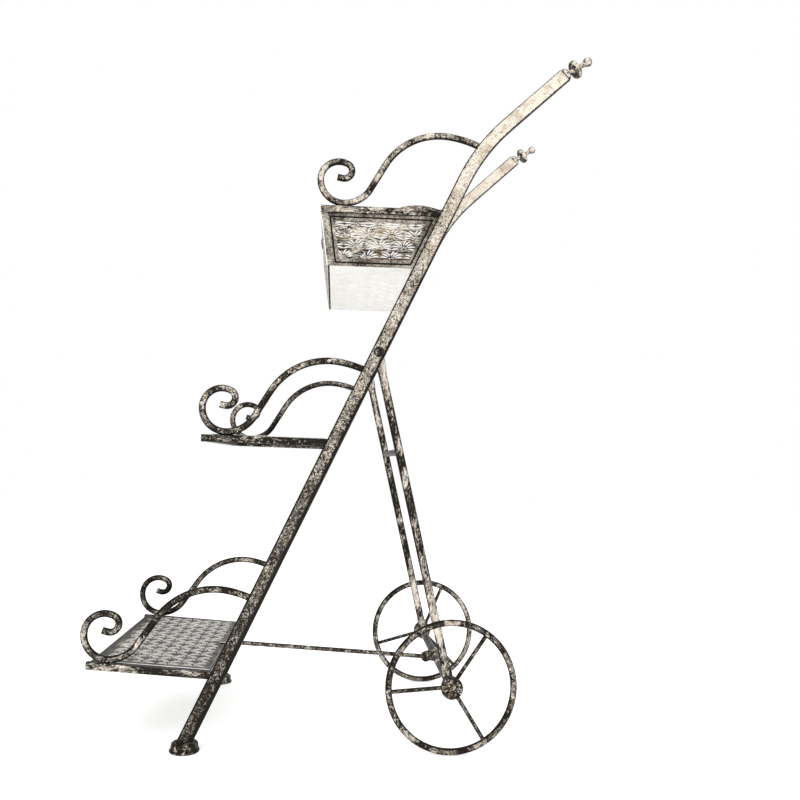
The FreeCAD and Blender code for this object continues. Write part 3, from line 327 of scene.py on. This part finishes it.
def coated_material(name, tones, side=0.0, patch=1.5, patch_size=30.0, speckle=2.4, speckle_size=280.0,
                    tint=0.4, pale=None, stretch=(1, 1, 1), to_rear=0.0, rail=False, lines=0.0, bump=0.3):
    """A coat of the shared kind: tones lists how much is pale at heights in metres; side sets a painted
    highlight on faces that look to the sides, and rail adds painted shade along a rail's edges.
    """
    colours = bpy.context.scene.cart_colours
    material = bpy.data.materials.new(name)
    material.use_nodes = True
    tree = material.node_tree
    shader = tree.nodes["Principled BSDF"]
    place = put(tree, "ShaderNodeTexCoord")
    position = place.outputs["Object"]
    mapping = put(tree, "ShaderNodeMapping")
    feed(tree, position, mapping, "Vector")
    mapping.inputs["Scale"].default_value = stretch
    ramp = put(tree, "ShaderNodeValToRGB")
    feed(tree, separate(tree, position)["Z"], ramp, "Fac")
    steps = ramp.color_ramp.elements
    steps[1].position = 1.0
    for index, (height, tone) in enumerate(tones):
        step = steps[0] if index == 0 else steps.new(height)
        step.position = height
        step.color = (tone, tone, tone, 1)
    steps[len(steps) - 1].color = (tones[-1][1],) * 3 + (1,)
    level = ramp.outputs["Color"]
    # painted highlight on the faces that look to the sides
    if side:
        painted_light_node = put(tree, "ShaderNodeGroup", node_tree=bpy.data.node_groups["Side Sheen"])
        feed(tree, place.outputs["Normal"], painted_light_node, "Normal")
        sheen_lift = math_node(tree, "SUBTRACT", painted_light_node.outputs["Side"], 0.6)
        level = math_node(tree, "MULTIPLY_ADD", sheen_lift, side, level)
    if to_rear:
        level = math_node(tree, "MULTIPLY_ADD", separate(tree, position)["Y"], to_rear, level)
    # rail: painted shade along the rail's front and rear edges
    if rail:
        level = rail_edge_shade(tree, position, level)
    coat = put(tree, "ShaderNodeGroup", node_tree=bpy.data.node_groups["Aged Coat"])
    height = coat.outputs["Height"]
    if lines:
        pressed = put(tree, "ShaderNodeGroup", node_tree=bpy.data.node_groups["Pressed Lines"])
        feed(tree, position, pressed, "Vector")
        level = math_node(tree, "MULTIPLY_ADD", pressed.outputs["Line"], -lines, level)
        level = math_node(tree, "MULTIPLY_ADD", pressed.outputs["Swell"], lines * 0.5, level)
        height = math_node(tree, "ADD", height, pressed.outputs["Swell"])
    for socket, value in (("Vector", mapping.outputs["Vector"]), ("Rub and Painted Light", level),
                          ("Dark", colours.dark), ("Pale", pale or colours.pale),
                          ("Brown", colours.brown), ("Patch Size", patch_size),
                          ("Patch Strength", patch), ("Speckle Size", speckle_size),
                          ("Speckle Strength", speckle), ("Tint", tint)):
        feed(tree, value, coat, socket)
    relief = put(tree, "ShaderNodeBump")
    relief.inputs["Strength"].default_value = bump
    relief.inputs["Distance"].default_value = 0.4 * MM
    feed(tree, height, relief, "Height")
    feed(tree, coat.outputs["Color"], shader, "Base Color")
    feed(tree, coat.outputs["Roughness"], shader, "Roughness")
    feed(tree, relief.outputs["Normal"], shader, "Normal")
    shader.inputs["Metallic"].default_value = 0.1
    shader.inputs["Specular IOR Level"].default_value = 0.08
    return material


def coat_nodes(material, *names):
    """Gives CAD nodes, found by the start of their names, their finish."""
    found = [node for name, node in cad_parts.items() if name.startswith(names)]
    if not found:
        raise RuntimeError("no node starts with " + str(names))
    for node in found:
        node.data.materials.clear()
        node.data.materials.append(material)


# ---------------------------------------------------------------- pierced sheets

def add_vectors(tree, first, second):
    node = put(tree, "ShaderNodeVectorMath", operation="ADD")
    feed(tree, first, node, 0)
    feed(tree, second, node, 1)
    return node.outputs[0]


def set_position(tree, geometry, position=None, offset=None):
    node = put(tree, "GeometryNodeSetPosition")
    feed(tree, geometry, node, "Geometry")
    if position is not None:
        feed(tree, position, node, "Position")
    if offset is not None:
        feed(tree, offset, node, "Offset")
    return node.outputs["Geometry"]


def leaf_ring(tree, count, reach, rise, length, width):
    """Closed leaf outlines that fan out upwards round the origin, their tips drooping."""
    ring = put(tree, "GeometryNodeCurvePrimitiveCircle", mode="RADIUS")
    feed(tree, 12, ring, "Resolution")
    feed(tree, 1.0, ring, "Radius")
    x, y, _ = separate(tree, put(tree, "GeometryNodeInputPosition").outputs[0])
    broad = math_node(tree, "MULTIPLY", math_node(tree, "ABSOLUTE", y), y)
    broad = math_node(tree, "MULTIPLY", broad, math_node(tree, "MULTIPLY_ADD", x, 0.45, 1.0))
    along = math_node(tree, "MULTIPLY", x, math_node(tree, "MULTIPLY", length, 0.5))
    out = math_node(tree, "MULTIPLY_ADD", x, 0.5, 0.5)
    droop = math_node(tree, "MULTIPLY", math_node(tree, "MULTIPLY", out, out),
                      math_node(tree, "MULTIPLY", length, -0.42))
    aside = math_node(tree, "MULTIPLY_ADD", broad, math_node(tree, "MULTIPLY", width, 0.5), droop)
    leaf = set_position(tree, ring.outputs["Curve"], position=combine(tree, along, aside))
    points = put(tree, "GeometryNodePoints")
    feed(tree, count, points, "Count")
    index = put(tree, "GeometryNodeInputIndex").outputs[0]
    share = math_node(tree, "DIVIDE", index, math_node(tree, "SUBTRACT", count, 1.0))
    angle = math_node(tree, "MULTIPLY_ADD", share, math.radians(156), math.radians(12))
    place_x = math_node(tree, "MULTIPLY", math_node(tree, "COSINE", angle), reach)
    place_y = math_node(tree, "MULTIPLY", math_node(tree, "SINE", angle), rise)
    feed(tree, combine(tree, place_x, place_y), points, "Position")
    turn = math_node(tree, "ARCTAN2", place_y, place_x)
    level = math_node(tree, "ABSOLUTE", math_node(tree, "COSINE", angle))
    longer = math_node(tree, "MULTIPLY_ADD", level, 0.28, 0.85)
    hand = math_node(tree, "SIGN", math_node(tree, "ADD", place_x, 0.01 * MM))
    fan = put(tree, "GeometryNodeInstanceOnPoints")
    feed(tree, points.outputs[0], fan, "Points")
    feed(tree, leaf, fan, "Instance")
    feed(tree, combine(tree, 0.0, 0.0, turn), fan, "Rotation")
    feed(tree, combine(tree, longer, hand, 1.0), fan, "Scale")
    real = put(tree, "GeometryNodeRealizeInstances")
    feed(tree, fan.outputs["Instances"], real, "Geometry")
    return real.outputs["Geometry"]


def pierced_sheet_tree():
    """Takes a flat outline and returns it as sheet metal pierced with rows of leaf fans."""
    tree = bpy.data.node_groups.new("Pierced Leaf Sheet", "GeometryNodeTree")
    tree.interface.new_socket("Geometry", in_out="INPUT", socket_type="NodeSocketGeometry")
    for name in ("Fan Pitch", "Row Pitch", "Leaf Length", "Leaf Width", "Margin", "Thickness"):
        tree.interface.new_socket(name, in_out="INPUT", socket_type=FLOAT)
    tree.interface.new_socket("Leaves", in_out="INPUT", socket_type="NodeSocketInt")
    for name in ("Metal", "Cut Edge"):
        tree.interface.new_socket(name, in_out="INPUT", socket_type="NodeSocketMaterial")
    tree.interface.new_socket("Geometry", in_out="OUTPUT", socket_type="NodeSocketGeometry")
    given = put(tree, "NodeGroupInput").outputs
    result = put(tree, "NodeGroupOutput")

    extent = put(tree, "GeometryNodeBoundBox")
    feed(tree, given["Geometry"], extent, "Geometry")
    low, high = (separate(tree, extent.outputs[corner]) for corner in ("Min", "Max"))
    span = [math_node(tree, "SUBTRACT", high[axis], low[axis]) for axis in (0, 1)]
    middle_x = math_node(tree, "MULTIPLY", math_node(tree, "ADD", high[0], low[0]), 0.5)
    counts = []
    sizes = []
    for along, pitch in ((span[0], given["Fan Pitch"]), (span[1], given["Row Pitch"])):
        whole = math_node(tree, "CEIL", math_node(tree, "DIVIDE", along, pitch))
        counts.append(math_node(tree, "ADD", whole, 3.0))
        sizes.append(math_node(tree, "MULTIPLY", math_node(tree, "ADD", whole, 2.0), pitch))
    grid = put(tree, "GeometryNodeMeshGrid")
    for name, value in (("Size X", sizes[0]), ("Size Y", sizes[1]),
                        ("Vertices X", counts[0]), ("Vertices Y", counts[1])):
        feed(tree, value, grid, name)
    index = put(tree, "GeometryNodeInputIndex").outputs[0]
    row = math_node(tree, "MODULO", index, counts[1])
    stagger = math_node(tree, "MULTIPLY", math_node(tree, "MODULO", row, 2.0),
                        math_node(tree, "MULTIPLY", given["Fan Pitch"], 0.5))
    first_row = math_node(tree, "ADD", low[1], given["Margin"])
    shift = combine(tree, math_node(tree, "ADD", middle_x, stagger),
                    math_node(tree, "MULTIPLY_ADD", sizes[1], 0.5, first_row))
    centres = set_position(tree, grid.outputs["Mesh"], offset=shift)

    fans = put(tree, "GeometryNodeJoinGeometry")
    length, width = given["Leaf Length"], given["Leaf Width"]
    outer_reach = math_node(tree, "MULTIPLY", length, 1.12)
    outer_rise = math_node(tree, "MULTIPLY", length, 1.0)
    feed(tree, leaf_ring(tree, given["Leaves"], outer_reach, outer_rise, length, width), fans, 0)
    inner_count = math_node(tree, "SUBTRACT", given["Leaves"], 4.0)
    inner = math_node(tree, "MULTIPLY", length, 0.34)
    feed(tree, leaf_ring(tree, inner_count, inner, inner, math_node(tree, "MULTIPLY", length, 0.3),
                         math_node(tree, "MULTIPLY", width, 0.45)), fans, 0)
    spread = put(tree, "GeometryNodeInstanceOnPoints")
    feed(tree, centres, spread, "Points")
    feed(tree, fans.outputs[0], spread, "Instance")
    real = put(tree, "GeometryNodeRealizeInstances")
    feed(tree, spread.outputs["Instances"], real, "Geometry")

    position = put(tree, "GeometryNodeInputPosition").outputs[0]
    near = put(tree, "GeometryNodeProximity", target_element="EDGES")
    feed(tree, given["Geometry"], near, "Geometry")
    feed(tree, position, near, "Sample Position")
    hit = put(tree, "GeometryNodeRaycast")
    feed(tree, given["Geometry"], hit, "Target Geometry")
    feed(tree, add_vectors(tree, position, combine(tree, z=10 * MM)), hit, "Source Position")
    feed(tree, combine(tree, z=-1.0), hit, "Ray Direction")
    feed(tree, 20 * MM, hit, "Ray Length")
    keep_away = math_node(tree, "MULTIPLY_ADD", length, 0.15, given["Margin"])
    close = math_node(tree, "LESS_THAN", near.outputs["Distance"], keep_away)
    outside = math_node(tree, "SUBTRACT", 1.0, hit.outputs["Is Hit"])
    drop_out = math_node(tree, "MAXIMUM", close, outside)
    trim = put(tree, "GeometryNodeDeleteGeometry", domain="CURVE")
    feed(tree, real.outputs["Geometry"], trim, "Geometry")
    feed(tree, drop_out, trim, "Selection")

    border = put(tree, "GeometryNodeMeshToCurve")
    feed(tree, given["Geometry"], border, "Mesh")
    lines = put(tree, "GeometryNodeJoinGeometry")
    feed(tree, border.outputs["Curve"], lines, 0)
    feed(tree, trim.outputs["Geometry"], lines, 0)
    face = put(tree, "GeometryNodeFillCurve")
    feed(tree, lines.outputs[0], face, "Curve")
    wall = put(tree, "GeometryNodeExtrudeMesh")
    feed(tree, face.outputs["Mesh"], wall, "Mesh")
    feed(tree, combine(tree, z=1.0), wall, "Offset")
    feed(tree, given["Thickness"], wall, "Offset Scale")
    wall.inputs["Individual"].default_value = False
    back = put(tree, "GeometryNodeFlipFaces")
    feed(tree, face.outputs["Mesh"], back, "Mesh")
    both = put(tree, "GeometryNodeJoinGeometry")
    feed(tree, wall.outputs["Mesh"], both, 0)
    feed(tree, back.outputs["Mesh"], both, 0)
    weld = put(tree, "GeometryNodeMergeByDistance")
    feed(tree, both.outputs[0], weld, "Geometry")
    weld.inputs["Distance"].default_value = 0.01 * MM
    finished = put(tree, "GeometryNodeRealizeInstances")
    feed(tree, weld.outputs["Geometry"], finished, "Geometry")
    coat = put(tree, "GeometryNodeSetMaterial")
    feed(tree, finished.outputs["Geometry"], coat, "Geometry")
    feed(tree, given["Metal"], coat, "Material")
    painted_light_node = put(tree, "GeometryNodeSetMaterial")
    feed(tree, coat.outputs["Geometry"], painted_light_node, "Geometry")
    feed(tree, wall.outputs["Side"], painted_light_node, "Selection")
    feed(tree, given["Cut Edge"], painted_light_node, "Material")
    feed(tree, painted_light_node.outputs["Geometry"], result, 0)
    return tree


def flat_outline(name, corners):
    """A one-face mesh object through flat corners."""
    mesh = bpy.data.meshes.new(name)
    mesh.from_pydata([(x, y, 0.0) for x, y in corners], [], [tuple(range(len(corners)))])
    piece = bpy.data.objects.new(name, mesh)
    bpy.context.scene.collection.objects.link(piece)
    return piece


def set_input(modifier, name, value):
    sockets = modifier.node_group.interface.items_tree
    socket = next(s for s in sockets if s.in_out == "INPUT" and s.name == name)
    modifier[socket.identifier] = value


def plain_mesh(piece):
    """Turns the piece's live result into its own mesh and takes the modifiers away."""
    bpy.context.view_layer.update()
    evaluated = piece.evaluated_get(bpy.context.evaluated_depsgraph_get())
    mesh = bpy.data.meshes.new_from_object(evaluated)
    piece.modifiers.clear()
    piece.data = mesh
    return mesh


def inset(outline, distance):
    """The flat outline moved inwards; its points run counter-clockwise."""
    moved = []
    for index, here in enumerate(outline):
        before = (here - outline[index - 1]).normalized()
        after = (outline[(index + 1) % len(outline)] - here).normalized()
        inward = Vector((-before.y - after.y, before.x + after.x))
        moved.append(here + inward * (distance / (1 + before.dot(after))))
    return moved


def add_strip(builder, outer, inner, low, high, material):
    """A closed strip between two flat outlines, or a plate where there is no inner one."""
    def ring(outline, height):
        return [builder.verts.new((p.x, p.y, height)) for p in outline]

    outside = ring(outer, low), ring(outer, high)
    inside = (ring(inner, low), ring(inner, high)) if inner else ()
    faces = []
    for index in range(len(outer)):
        ahead = (index + 1) % len(outer)
        for first, second in [outside] + [inside] * bool(inner) + list(zip(outside, inside)):
            faces.append((first[index], first[ahead], second[ahead], second[index]))
    if not inner:
        faces += outside
    for corners in faces:
        builder.faces.new(corners).material_index = material


def pierce(name, outline, matrix, strips, margin, metals):
    """A pierced sheet: cut in its own flat frame, given its strips, then put in place.

    Each strip is an outer outline, an inner one or None, two heights and a place in metals.
    """
    sizes = bpy.context.scene.cart_sizes
    piece = flat_outline(name, outline)
    modifier = piece.modifiers.new("Pierced leaves", "NODES")
    modifier.node_group = bpy.data.node_groups["Pierced Leaf Sheet"]
    for socket, value in (("Fan Pitch", sizes.fan_pitch), ("Row Pitch", sizes.row_pitch),
                          ("Leaf Length", sizes.leaf_length), ("Leaf Width", sizes.leaf_width),
                          ("Margin", margin), ("Thickness", sizes.sheet), ("Leaves", sizes.leaves),
                          ("Metal", metals[0]), ("Cut Edge", metals[1])):
        set_input(modifier, socket, value)
    mesh = plain_mesh(piece)
    given = list(mesh.materials)
    builder = bmesh.new()
    builder.from_mesh(mesh)
    mesh.materials.clear()
    for metal in metals:
        mesh.materials.append(metal)
    if len(builder.faces) < FEWEST_FACES:
        raise RuntimeError(name + " has no pierced leaves")
    for face in builder.faces:
        face.material_index = metals.index(given[face.material_index])
    for outer, inner, low, high, metal in strips:
        add_strip(builder, outer, inner, low, high, metal)
    bmesh.ops.recalc_face_normals(builder, faces=builder.faces)
    bmesh.ops.transform(builder, matrix=matrix, verts=builder.verts)
    builder.to_mesh(mesh)
    builder.free()
    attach(piece, "main_frame")
    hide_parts(name.removesuffix("_pierced"))
    return piece


def turned_points(node, turn):
    """A node's corners in a frame that is turned back by the given rotation."""
    back = turn.inverted()
    return [back @ vertex.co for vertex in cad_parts[node].data.vertices]


def extent_of(points):
    low = Vector(min(p[i] for p in points) for i in range(3))
    high = Vector(max(p[i] for p in points) for i in range(3))
    return low, high


def shelf_turn(tier):
    return Matrix.Rotation(-math.radians(TILTS[tier]), 3, "X")


def basis(x_axis, y_axis, origin):
    """Matrix that sends a flat frame's X and Y along two directions from an origin."""
    z_axis = x_axis.cross(y_axis)
    matrix = Matrix((x_axis, y_axis, z_axis)).transposed().to_4x4()
    matrix.translation = origin
    return matrix


def rectangle(low, high, across=0, up=1):
    """Counter-clockwise corners between two points, along two of their directions."""
    return [Vector((low[across], low[up])), Vector((high[across], low[up])),
            Vector((high[across], high[up])), Vector((low[across], high[up]))]


def tray(node, turn, metals, flange_up=False, notch_at=None):
    """A pierced rectangle with its edges folded; its flat frame's X is to the rear, Y to the left."""
    sheet = bpy.context.scene.cart_sizes.sheet
    low, high = extent_of(turned_points(node, turn))
    depth = high.z - low.z
    outline = rectangle(Vector((low.y, -high.x)), Vector((high.y, -low.x)))
    if notch_at is not None:
        near, far = -notch_at - NOTCH_HALF, -notch_at + NOTCH_HALF
        outline[2:2] = [Vector((high.y, near)), Vector((high.y - NOTCH_DEPTH, near)),
                        Vector((high.y - NOTCH_DEPTH, far)), Vector((high.y, far))]
    plane, edge = (low.z, (sheet, depth)) if flange_up else (high.z - sheet, (sheet - depth, 0.0))
    matrix = turn.to_4x4() @ basis(Vector((0, 1, 0)), Vector((-1, 0, 0)), Vector((0, 0, plane)))
    folded = (outline, inset(outline, WALL), *edge, 0)
    return pierce(node + "_pierced", outline, matrix, [folded], PLAIN_RIM, metals)


# ---------------------------------------------------------------- operators

# name, starts of the coated nodes' names, how pale at heights in metres, further settings; axle_tube
# starts like axle, so its own row comes later and overrides the first
# side in the settings sets the painted highlight on faces that look to the sides; rail=True adds painted
# shade on the rails' edges
FINISHES = (
    ("worn_bolt", ("axle", "hinge_", "stay_bolt", "stay_nut"), ((0.0, 0.02),),
     dict(side=0.35, patch=1.4, patch_size=200.0)),
    # rails: darker low and paler high, with painted shade along their edges and a painted highlight on their
    # sides
    ("rail_wear_and_edge_shade", ("rail_", "handle_ferrule"),
     ((0.0, -0.08), (0.3, 0.14), (0.5, 0.28), (0.7, 0.4), (0.8, 0.54), (0.9, 0.78)),
     dict(rail=True, side=0.35, patch=0.7, speckle=2.2, speckle_size=340.0, tint=0.45)),
    ("rubbed_finial", ("handle_finial",), ((0.0, 0.55),),
     dict(side=0.5, patch=2.4, patch_size=170.0, speckle=2.2, tint=0.2)),
    # the step at 12.9 mm makes the foot's top face pale: a painted highlight
    ("foot_wear_and_top_highlight", ("foot_",), ((0.0, 0.1), (0.0125, 0.2), (0.0129, 0.62)),
     dict(side=0.3, patch=2.2, patch_size=110.0, tint=0.8)),
    ("worn_bar", ("bottom_side_bar", "bottom_front_bar", "bottom_rear_bar", "middle_side_bar",
                  "middle_front_bar", "middle_rear_bar", "basket_side_bar", "basket_front_bar",
                  "basket_rear_bar"),
     ((0.0, -0.35), (0.45, 0.02), (0.74, 0.26)),
     dict(side=0.35, patch=1.7, patch_size=42.0, stretch=(1, 0.45, 1))),
    ("worn_arm", ("bottom_arm", "middle_arm", "basket_arm"), ((0.0, -0.08), (0.45, 0.0), (0.8, 0.14)),
     dict(side=0.55, patch=2.4, patch_size=34.0)),
    ("worn_strut", ("strut_", "axle_tube", "stay_lug"),
     ((0.0, 0.36), (0.17, 0.3), (0.28, 0.04), (0.4, 0.12), (0.5, 0.32)),
     dict(side=0.4, patch=2.6, patch_size=40.0, stretch=(1, 1, 0.4))),
    ("worn_stay", ("stay_rod",), ((0.0, 0.18),), dict(side=0.3, patch=1.5, patch_size=60.0)),
    ("worn_wheel", ("wheel_left_rim", "wheel_right_rim", "wheel_left_hub", "wheel_right_hub"),
     ((0.0, 0.04), (0.09, 0.08), (0.16, -0.15)),
     dict(side=0.5, patch=2.4, patch_size=34.0, to_rear=0.5)),
    ("worn_spoke", ("wheel_left_spokes", "wheel_right_spokes"), ((0.0, 0.08), (0.07, -0.02)),
     dict(side=0.2, patch=1.4, patch_size=50.0)),
    ("worn_hub_cap", ("wheel_left_cap", "wheel_right_cap"), ((0.0, 0.02),),
     dict(side=0.5, patch=2.0, patch_size=190.0, speckle=3.0, tint=0.7)),
)


class CART_OT_finishes(bpy.types.Operator):
    """Give every piece of the metal frame its worn antique coat"""
    bl_idname = "cart.finishes"
    bl_label = "Antique Finishes"

    def execute(self, context):
        aged_coat_group()
        side_sheen_group()
        rail_across_group()
        pressed_lines_group()
        for name, nodes, tones, settings in FINISHES:
            coat_nodes(coated_material(name, tones, **settings), *nodes)
        return {"FINISHED"}


class CART_OT_pierced_sheets(bpy.types.Operator):
    """Make the two shelf sheets and the basket's panels as pierced leaf sheet"""
    bl_idname = "cart.pierced_sheets"
    bl_label = "Pierced Sheets"

    def execute(self, context):
        painted_light_white = context.scene.cart_colours.painted_light_white
        metal = coated_material(
            "pierced_sheet", ((0.0, 0.18), (0.45, 0.28), (0.7, 0.42)), patch=1.4, patch_size=34.0,
            speckle=1.2, stretch=(1, 0.4, 1), tint=0.9, lines=0.2, bump=0.5)
        # near-white cut edges of the piercings: painted light where the bright ground shows through
        edge = coated_material("cut_edge_painted_light", ((0.0, 0.95),), patch=0.4, speckle=0.5, tint=0.0, pale=painted_light_white)
        strip = coated_material("plain_strip", ((0.0, 0.4),), patch=0.8, speckle=1.0, tint=0.3)
        # painted shade in the groove between the side panels' raised borders
        groove_shade = coated_material("groove_painted_shade", ((0.0, 0.03),), patch=0.3, speckle=0.3)
        metals = (metal, edge, strip, groove_shade)
        # near-white basket floor: painted light washing over it
        floor_painted_light = coated_material("basket_floor_painted_light", ((0.0, 0.96),), patch=0.3, speckle=0.5, tint=0.05, pale=painted_light_white)
        pierced_sheet_tree()
        stay = (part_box("stay_rod")[0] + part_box("stay_rod")[1]) / 2
        tray("bottom_sheet", shelf_turn("bottom"), metals, notch_at=stay.x)
        tray("middle_sheet", shelf_turn("middle"), metals)
        turn = shelf_turn("basket")
        tray("basket_floor", turn, (floor_painted_light, floor_painted_light), flange_up=True)
        for hand, side in SIDES:
            self.side_panel("basket_side_panel_" + hand, turn, side, metals)
        self.rear_panel("basket_rear_panel", Matrix.Rotation(-math.radians(LEG_LEAN), 3, "X"), metals)
        front = turn @ Matrix.Rotation(math.radians(FRONT_PANEL_LEAN), 3, "X")
        self.front_panel("basket_front_panel", front, metals)
        return {"FINISHED"}

    def side_panel(self, node, turn, side, metals):
        """Plate with two raised borders and a strip of painted shade in the groove between them."""
        sheet = bpy.context.scene.cart_sizes.sheet
        points = turned_points(node, turn)
        low, high = extent_of(points)
        bottom = [p.y for p in points if p.z < low.z + WALL]
        top = [p.y for p in points if p.z > high.z - WALL]
        corners = [(min(bottom), low.z), (max(bottom), low.z), (max(top), high.z), (min(top), high.z)]
        clear = FLANGE - BORDER
        behind = [(corners[0][0] + clear, low.z), corners[1], corners[2], (corners[3][0] + clear, high.z)]
        outline, behind = ([Vector((side * y, z)) for y, z in points[::side]] for points in (corners, behind))
        raised = (sheet, high.x - low.x - WALL + sheet)
        lines = [inset(behind, distance) for distance in (BORDER, BORDER + GROOVE, 2 * BORDER + GROOVE)]
        # the low strip in the groove takes the painted shade
        strips = [(outline, lines[0], *raised, 2), (lines[1], lines[2], *raised, 2),
                  (lines[0], lines[1], sheet, sheet + 0.05 * MM, 3)]
        inner = low.x if side > 0 else high.x
        matrix = basis(turn @ Vector((0, side, 0)), turn @ Vector((0, 0, 1)),
                       Vector((inner + side * (WALL - sheet), 0, 0)))
        return pierce(node + "_pierced", outline, matrix, strips, 2 * BORDER + GROOVE, metals)

    def rear_panel(self, node, turn, metals):
        """Plain rectangle that leans with the rails."""
        low, high = extent_of(turned_points(node, turn))
        matrix = basis(turn @ Vector((1, 0, 0)), turn @ Vector((0, 0, 1)), turn @ Vector((0, high.y, 0)))
        return pierce(node + "_pierced", rectangle(low, high, up=2), matrix, [], PLAIN_RIM, metals)

    def front_panel(self, node, turn, metals):
        """Leaning front with its side edges folded back."""
        sheet = bpy.context.scene.cart_sizes.sheet
        low, high = extent_of(turned_points(node, turn))
        matrix = basis(turn @ Vector((1, 0, 0)), turn @ Vector((0, 0, 1)),
                       turn @ Vector((0, low.y + sheet, 0)))
        strips = []
        for start in (low.x, high.x - WALL):
            edge = rectangle(Vector((start, low.z)), Vector((start + WALL, high.z)))
            strips.append((edge, None, sheet - (high.y - low.y), 0.0, 2))
        return pierce(node + "_pierced", rectangle(low, high, up=2), matrix, strips, PLAIN_RIM, metals)


class CART_OT_stage(bpy.types.Operator):
    """Set the white floor, the soft lamps and the camera at the photographed angle"""
    bl_idname = "cart.stage"
    bl_label = "Studio"

    def execute(self, context):
        self.floor()
        self.world(context.scene)
        self.lamps()
        self.camera(context.scene)
        return {"FINISHED"}

    def floor(self):
        half = 6.0
        mesh = bpy.data.meshes.new("floor")
        mesh.from_pydata([(-half, -half, 0), (half, -half, 0), (half, half, 0), (-half, half, 0)], [],
                         [(0, 1, 2, 3)])
        floor = bpy.data.objects.new("floor", mesh)
        bpy.context.scene.collection.objects.link(floor)
        material = bpy.data.materials.new("white_floor")
        material.use_nodes = True
        tree = material.node_tree
        shader = tree.nodes["Principled BSDF"]
        shader.inputs["Base Color"].default_value = (0.86, 0.86, 0.855, 1)
        shader.inputs["Roughness"].default_value = 0.9
        shader.inputs["Specular IOR Level"].default_value = 0.1
        path = put(tree, "ShaderNodeLightPath")
        seen = math_node(tree, "MAXIMUM", path.outputs["Is Camera Ray"], path.outputs["Is Glossy Ray"])
        shader.inputs["Emission Color"].default_value = (1, 1, 1, 1)
        feed(tree, math_node(tree, "MULTIPLY", seen, 0.42), shader, "Emission Strength")
        mesh.materials.append(material)

    def world(self, scene):
        world = bpy.data.worlds.new("white_room")
        scene.world = world
        world.use_nodes = True
        tree = world.node_tree
        path = put(tree, "ShaderNodeLightPath")
        seen = math_node(tree, "MAXIMUM", path.outputs["Is Camera Ray"], path.outputs["Is Glossy Ray"])
        background = tree.nodes["Background"]
        background.inputs["Color"].default_value = (1, 1, 1, 1)
        feed(tree, smooth_range(tree, seen, 0.0, 1.0, 0.75, 1.0), background, "Strength")

    def lamps(self):
        lamps = (
            ("key_lamp", (2.2, -1.4, 2.6), 1.8, 55.0),
            ("fill_lamp", (1.6, 2.2, 1.6), 2.0, 22.0),
            ("rear_lamp", (-2.2, 0.4, 2.4), 2.0, 25.0),
            ("low_lamp", (1.1, -0.2, 0.04), 0.5, 6.0),
        )
        for name, place, side, power in lamps:
            lamp = bpy.data.lights.new(name, "AREA")
            lamp.size = side
            lamp.energy = power
            holder = bpy.data.objects.new(name, lamp)
            holder.location = place
            aim = Vector((0, 0, 0.5)) - Vector(place)
            holder.rotation_euler = aim.to_track_quat("-Z", "Y").to_euler()
            bpy.context.scene.collection.objects.link(holder)

    def camera(self, scene):
        """Solved from the round wheels, the level feet and the parallel rails of the picture."""
        focal_share = 830 / 800
        axle = (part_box("axle")[0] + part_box("axle")[1]) / 2
        place = Vector((1.3305, axle.y - 0.1675, 0.3921))
        yaw, pitch, roll = (math.radians(a) for a in (-4.35, 4.28, 1.58))
        ahead = Vector((-math.cos(yaw) * math.cos(pitch), -math.sin(yaw) * math.cos(pitch),
                        math.sin(pitch)))
        right = ahead.cross(Vector((0, 0, 1))).normalized()
        up = right.cross(ahead)
        level_right = right * math.cos(roll) + up * math.sin(roll)
        level_up = up * math.cos(roll) - right * math.sin(roll)
        lens = bpy.data.cameras.new("camera")
        lens.sensor_width = 36.0
        lens.lens = 36.0 * focal_share
        lens.clip_start = 0.01
        holder = bpy.data.objects.new("camera", lens)
        matrix = Matrix((level_right, level_up, -ahead)).transposed().to_4x4()
        matrix.translation = place
        holder.matrix_world = matrix
        scene.collection.objects.link(holder)
        scene.camera = holder
        scene.view_settings.view_transform = "Standard"


class CART_PT_panel(bpy.types.Panel):
    """Lists the settings and the steps that dress the cart"""
    bl_label = "Flower Cart"
    bl_idname = "CART_PT_panel"
    bl_space_type = "VIEW_3D"
    bl_region_type = "UI"
    bl_category = "Flower Cart"

    def draw(self, context):
        layout = self.layout
        for group in (context.scene.cart_sizes, context.scene.cart_colours):
            box = layout.box()
            for name in group.__annotations__:
                box.prop(group, name)
        for operator in OPERATORS:
            layout.operator(operator.bl_idname)


OPERATORS = (CART_OT_finishes, CART_OT_pierced_sheets, CART_OT_stage)
CLASSES = (CartSizes, CartColours) + OPERATORS + (CART_PT_panel,)


def register():
    for kind in CLASSES:
        bpy.utils.register_class(kind)
    bpy.types.Scene.cart_sizes = bpy.props.PointerProperty(type=CartSizes)
    bpy.types.Scene.cart_colours = bpy.props.PointerProperty(type=CartColours)


def unregister():
    del bpy.types.Scene.cart_colours
    del bpy.types.Scene.cart_sizes
    for kind in reversed(CLASSES):
        bpy.utils.unregister_class(kind)


def main():
    register()
    bpy.ops.cart.finishes()
    bpy.ops.cart.pierced_sheets()
    bpy.ops.cart.stage()


if __name__ == "__main__":
    main()
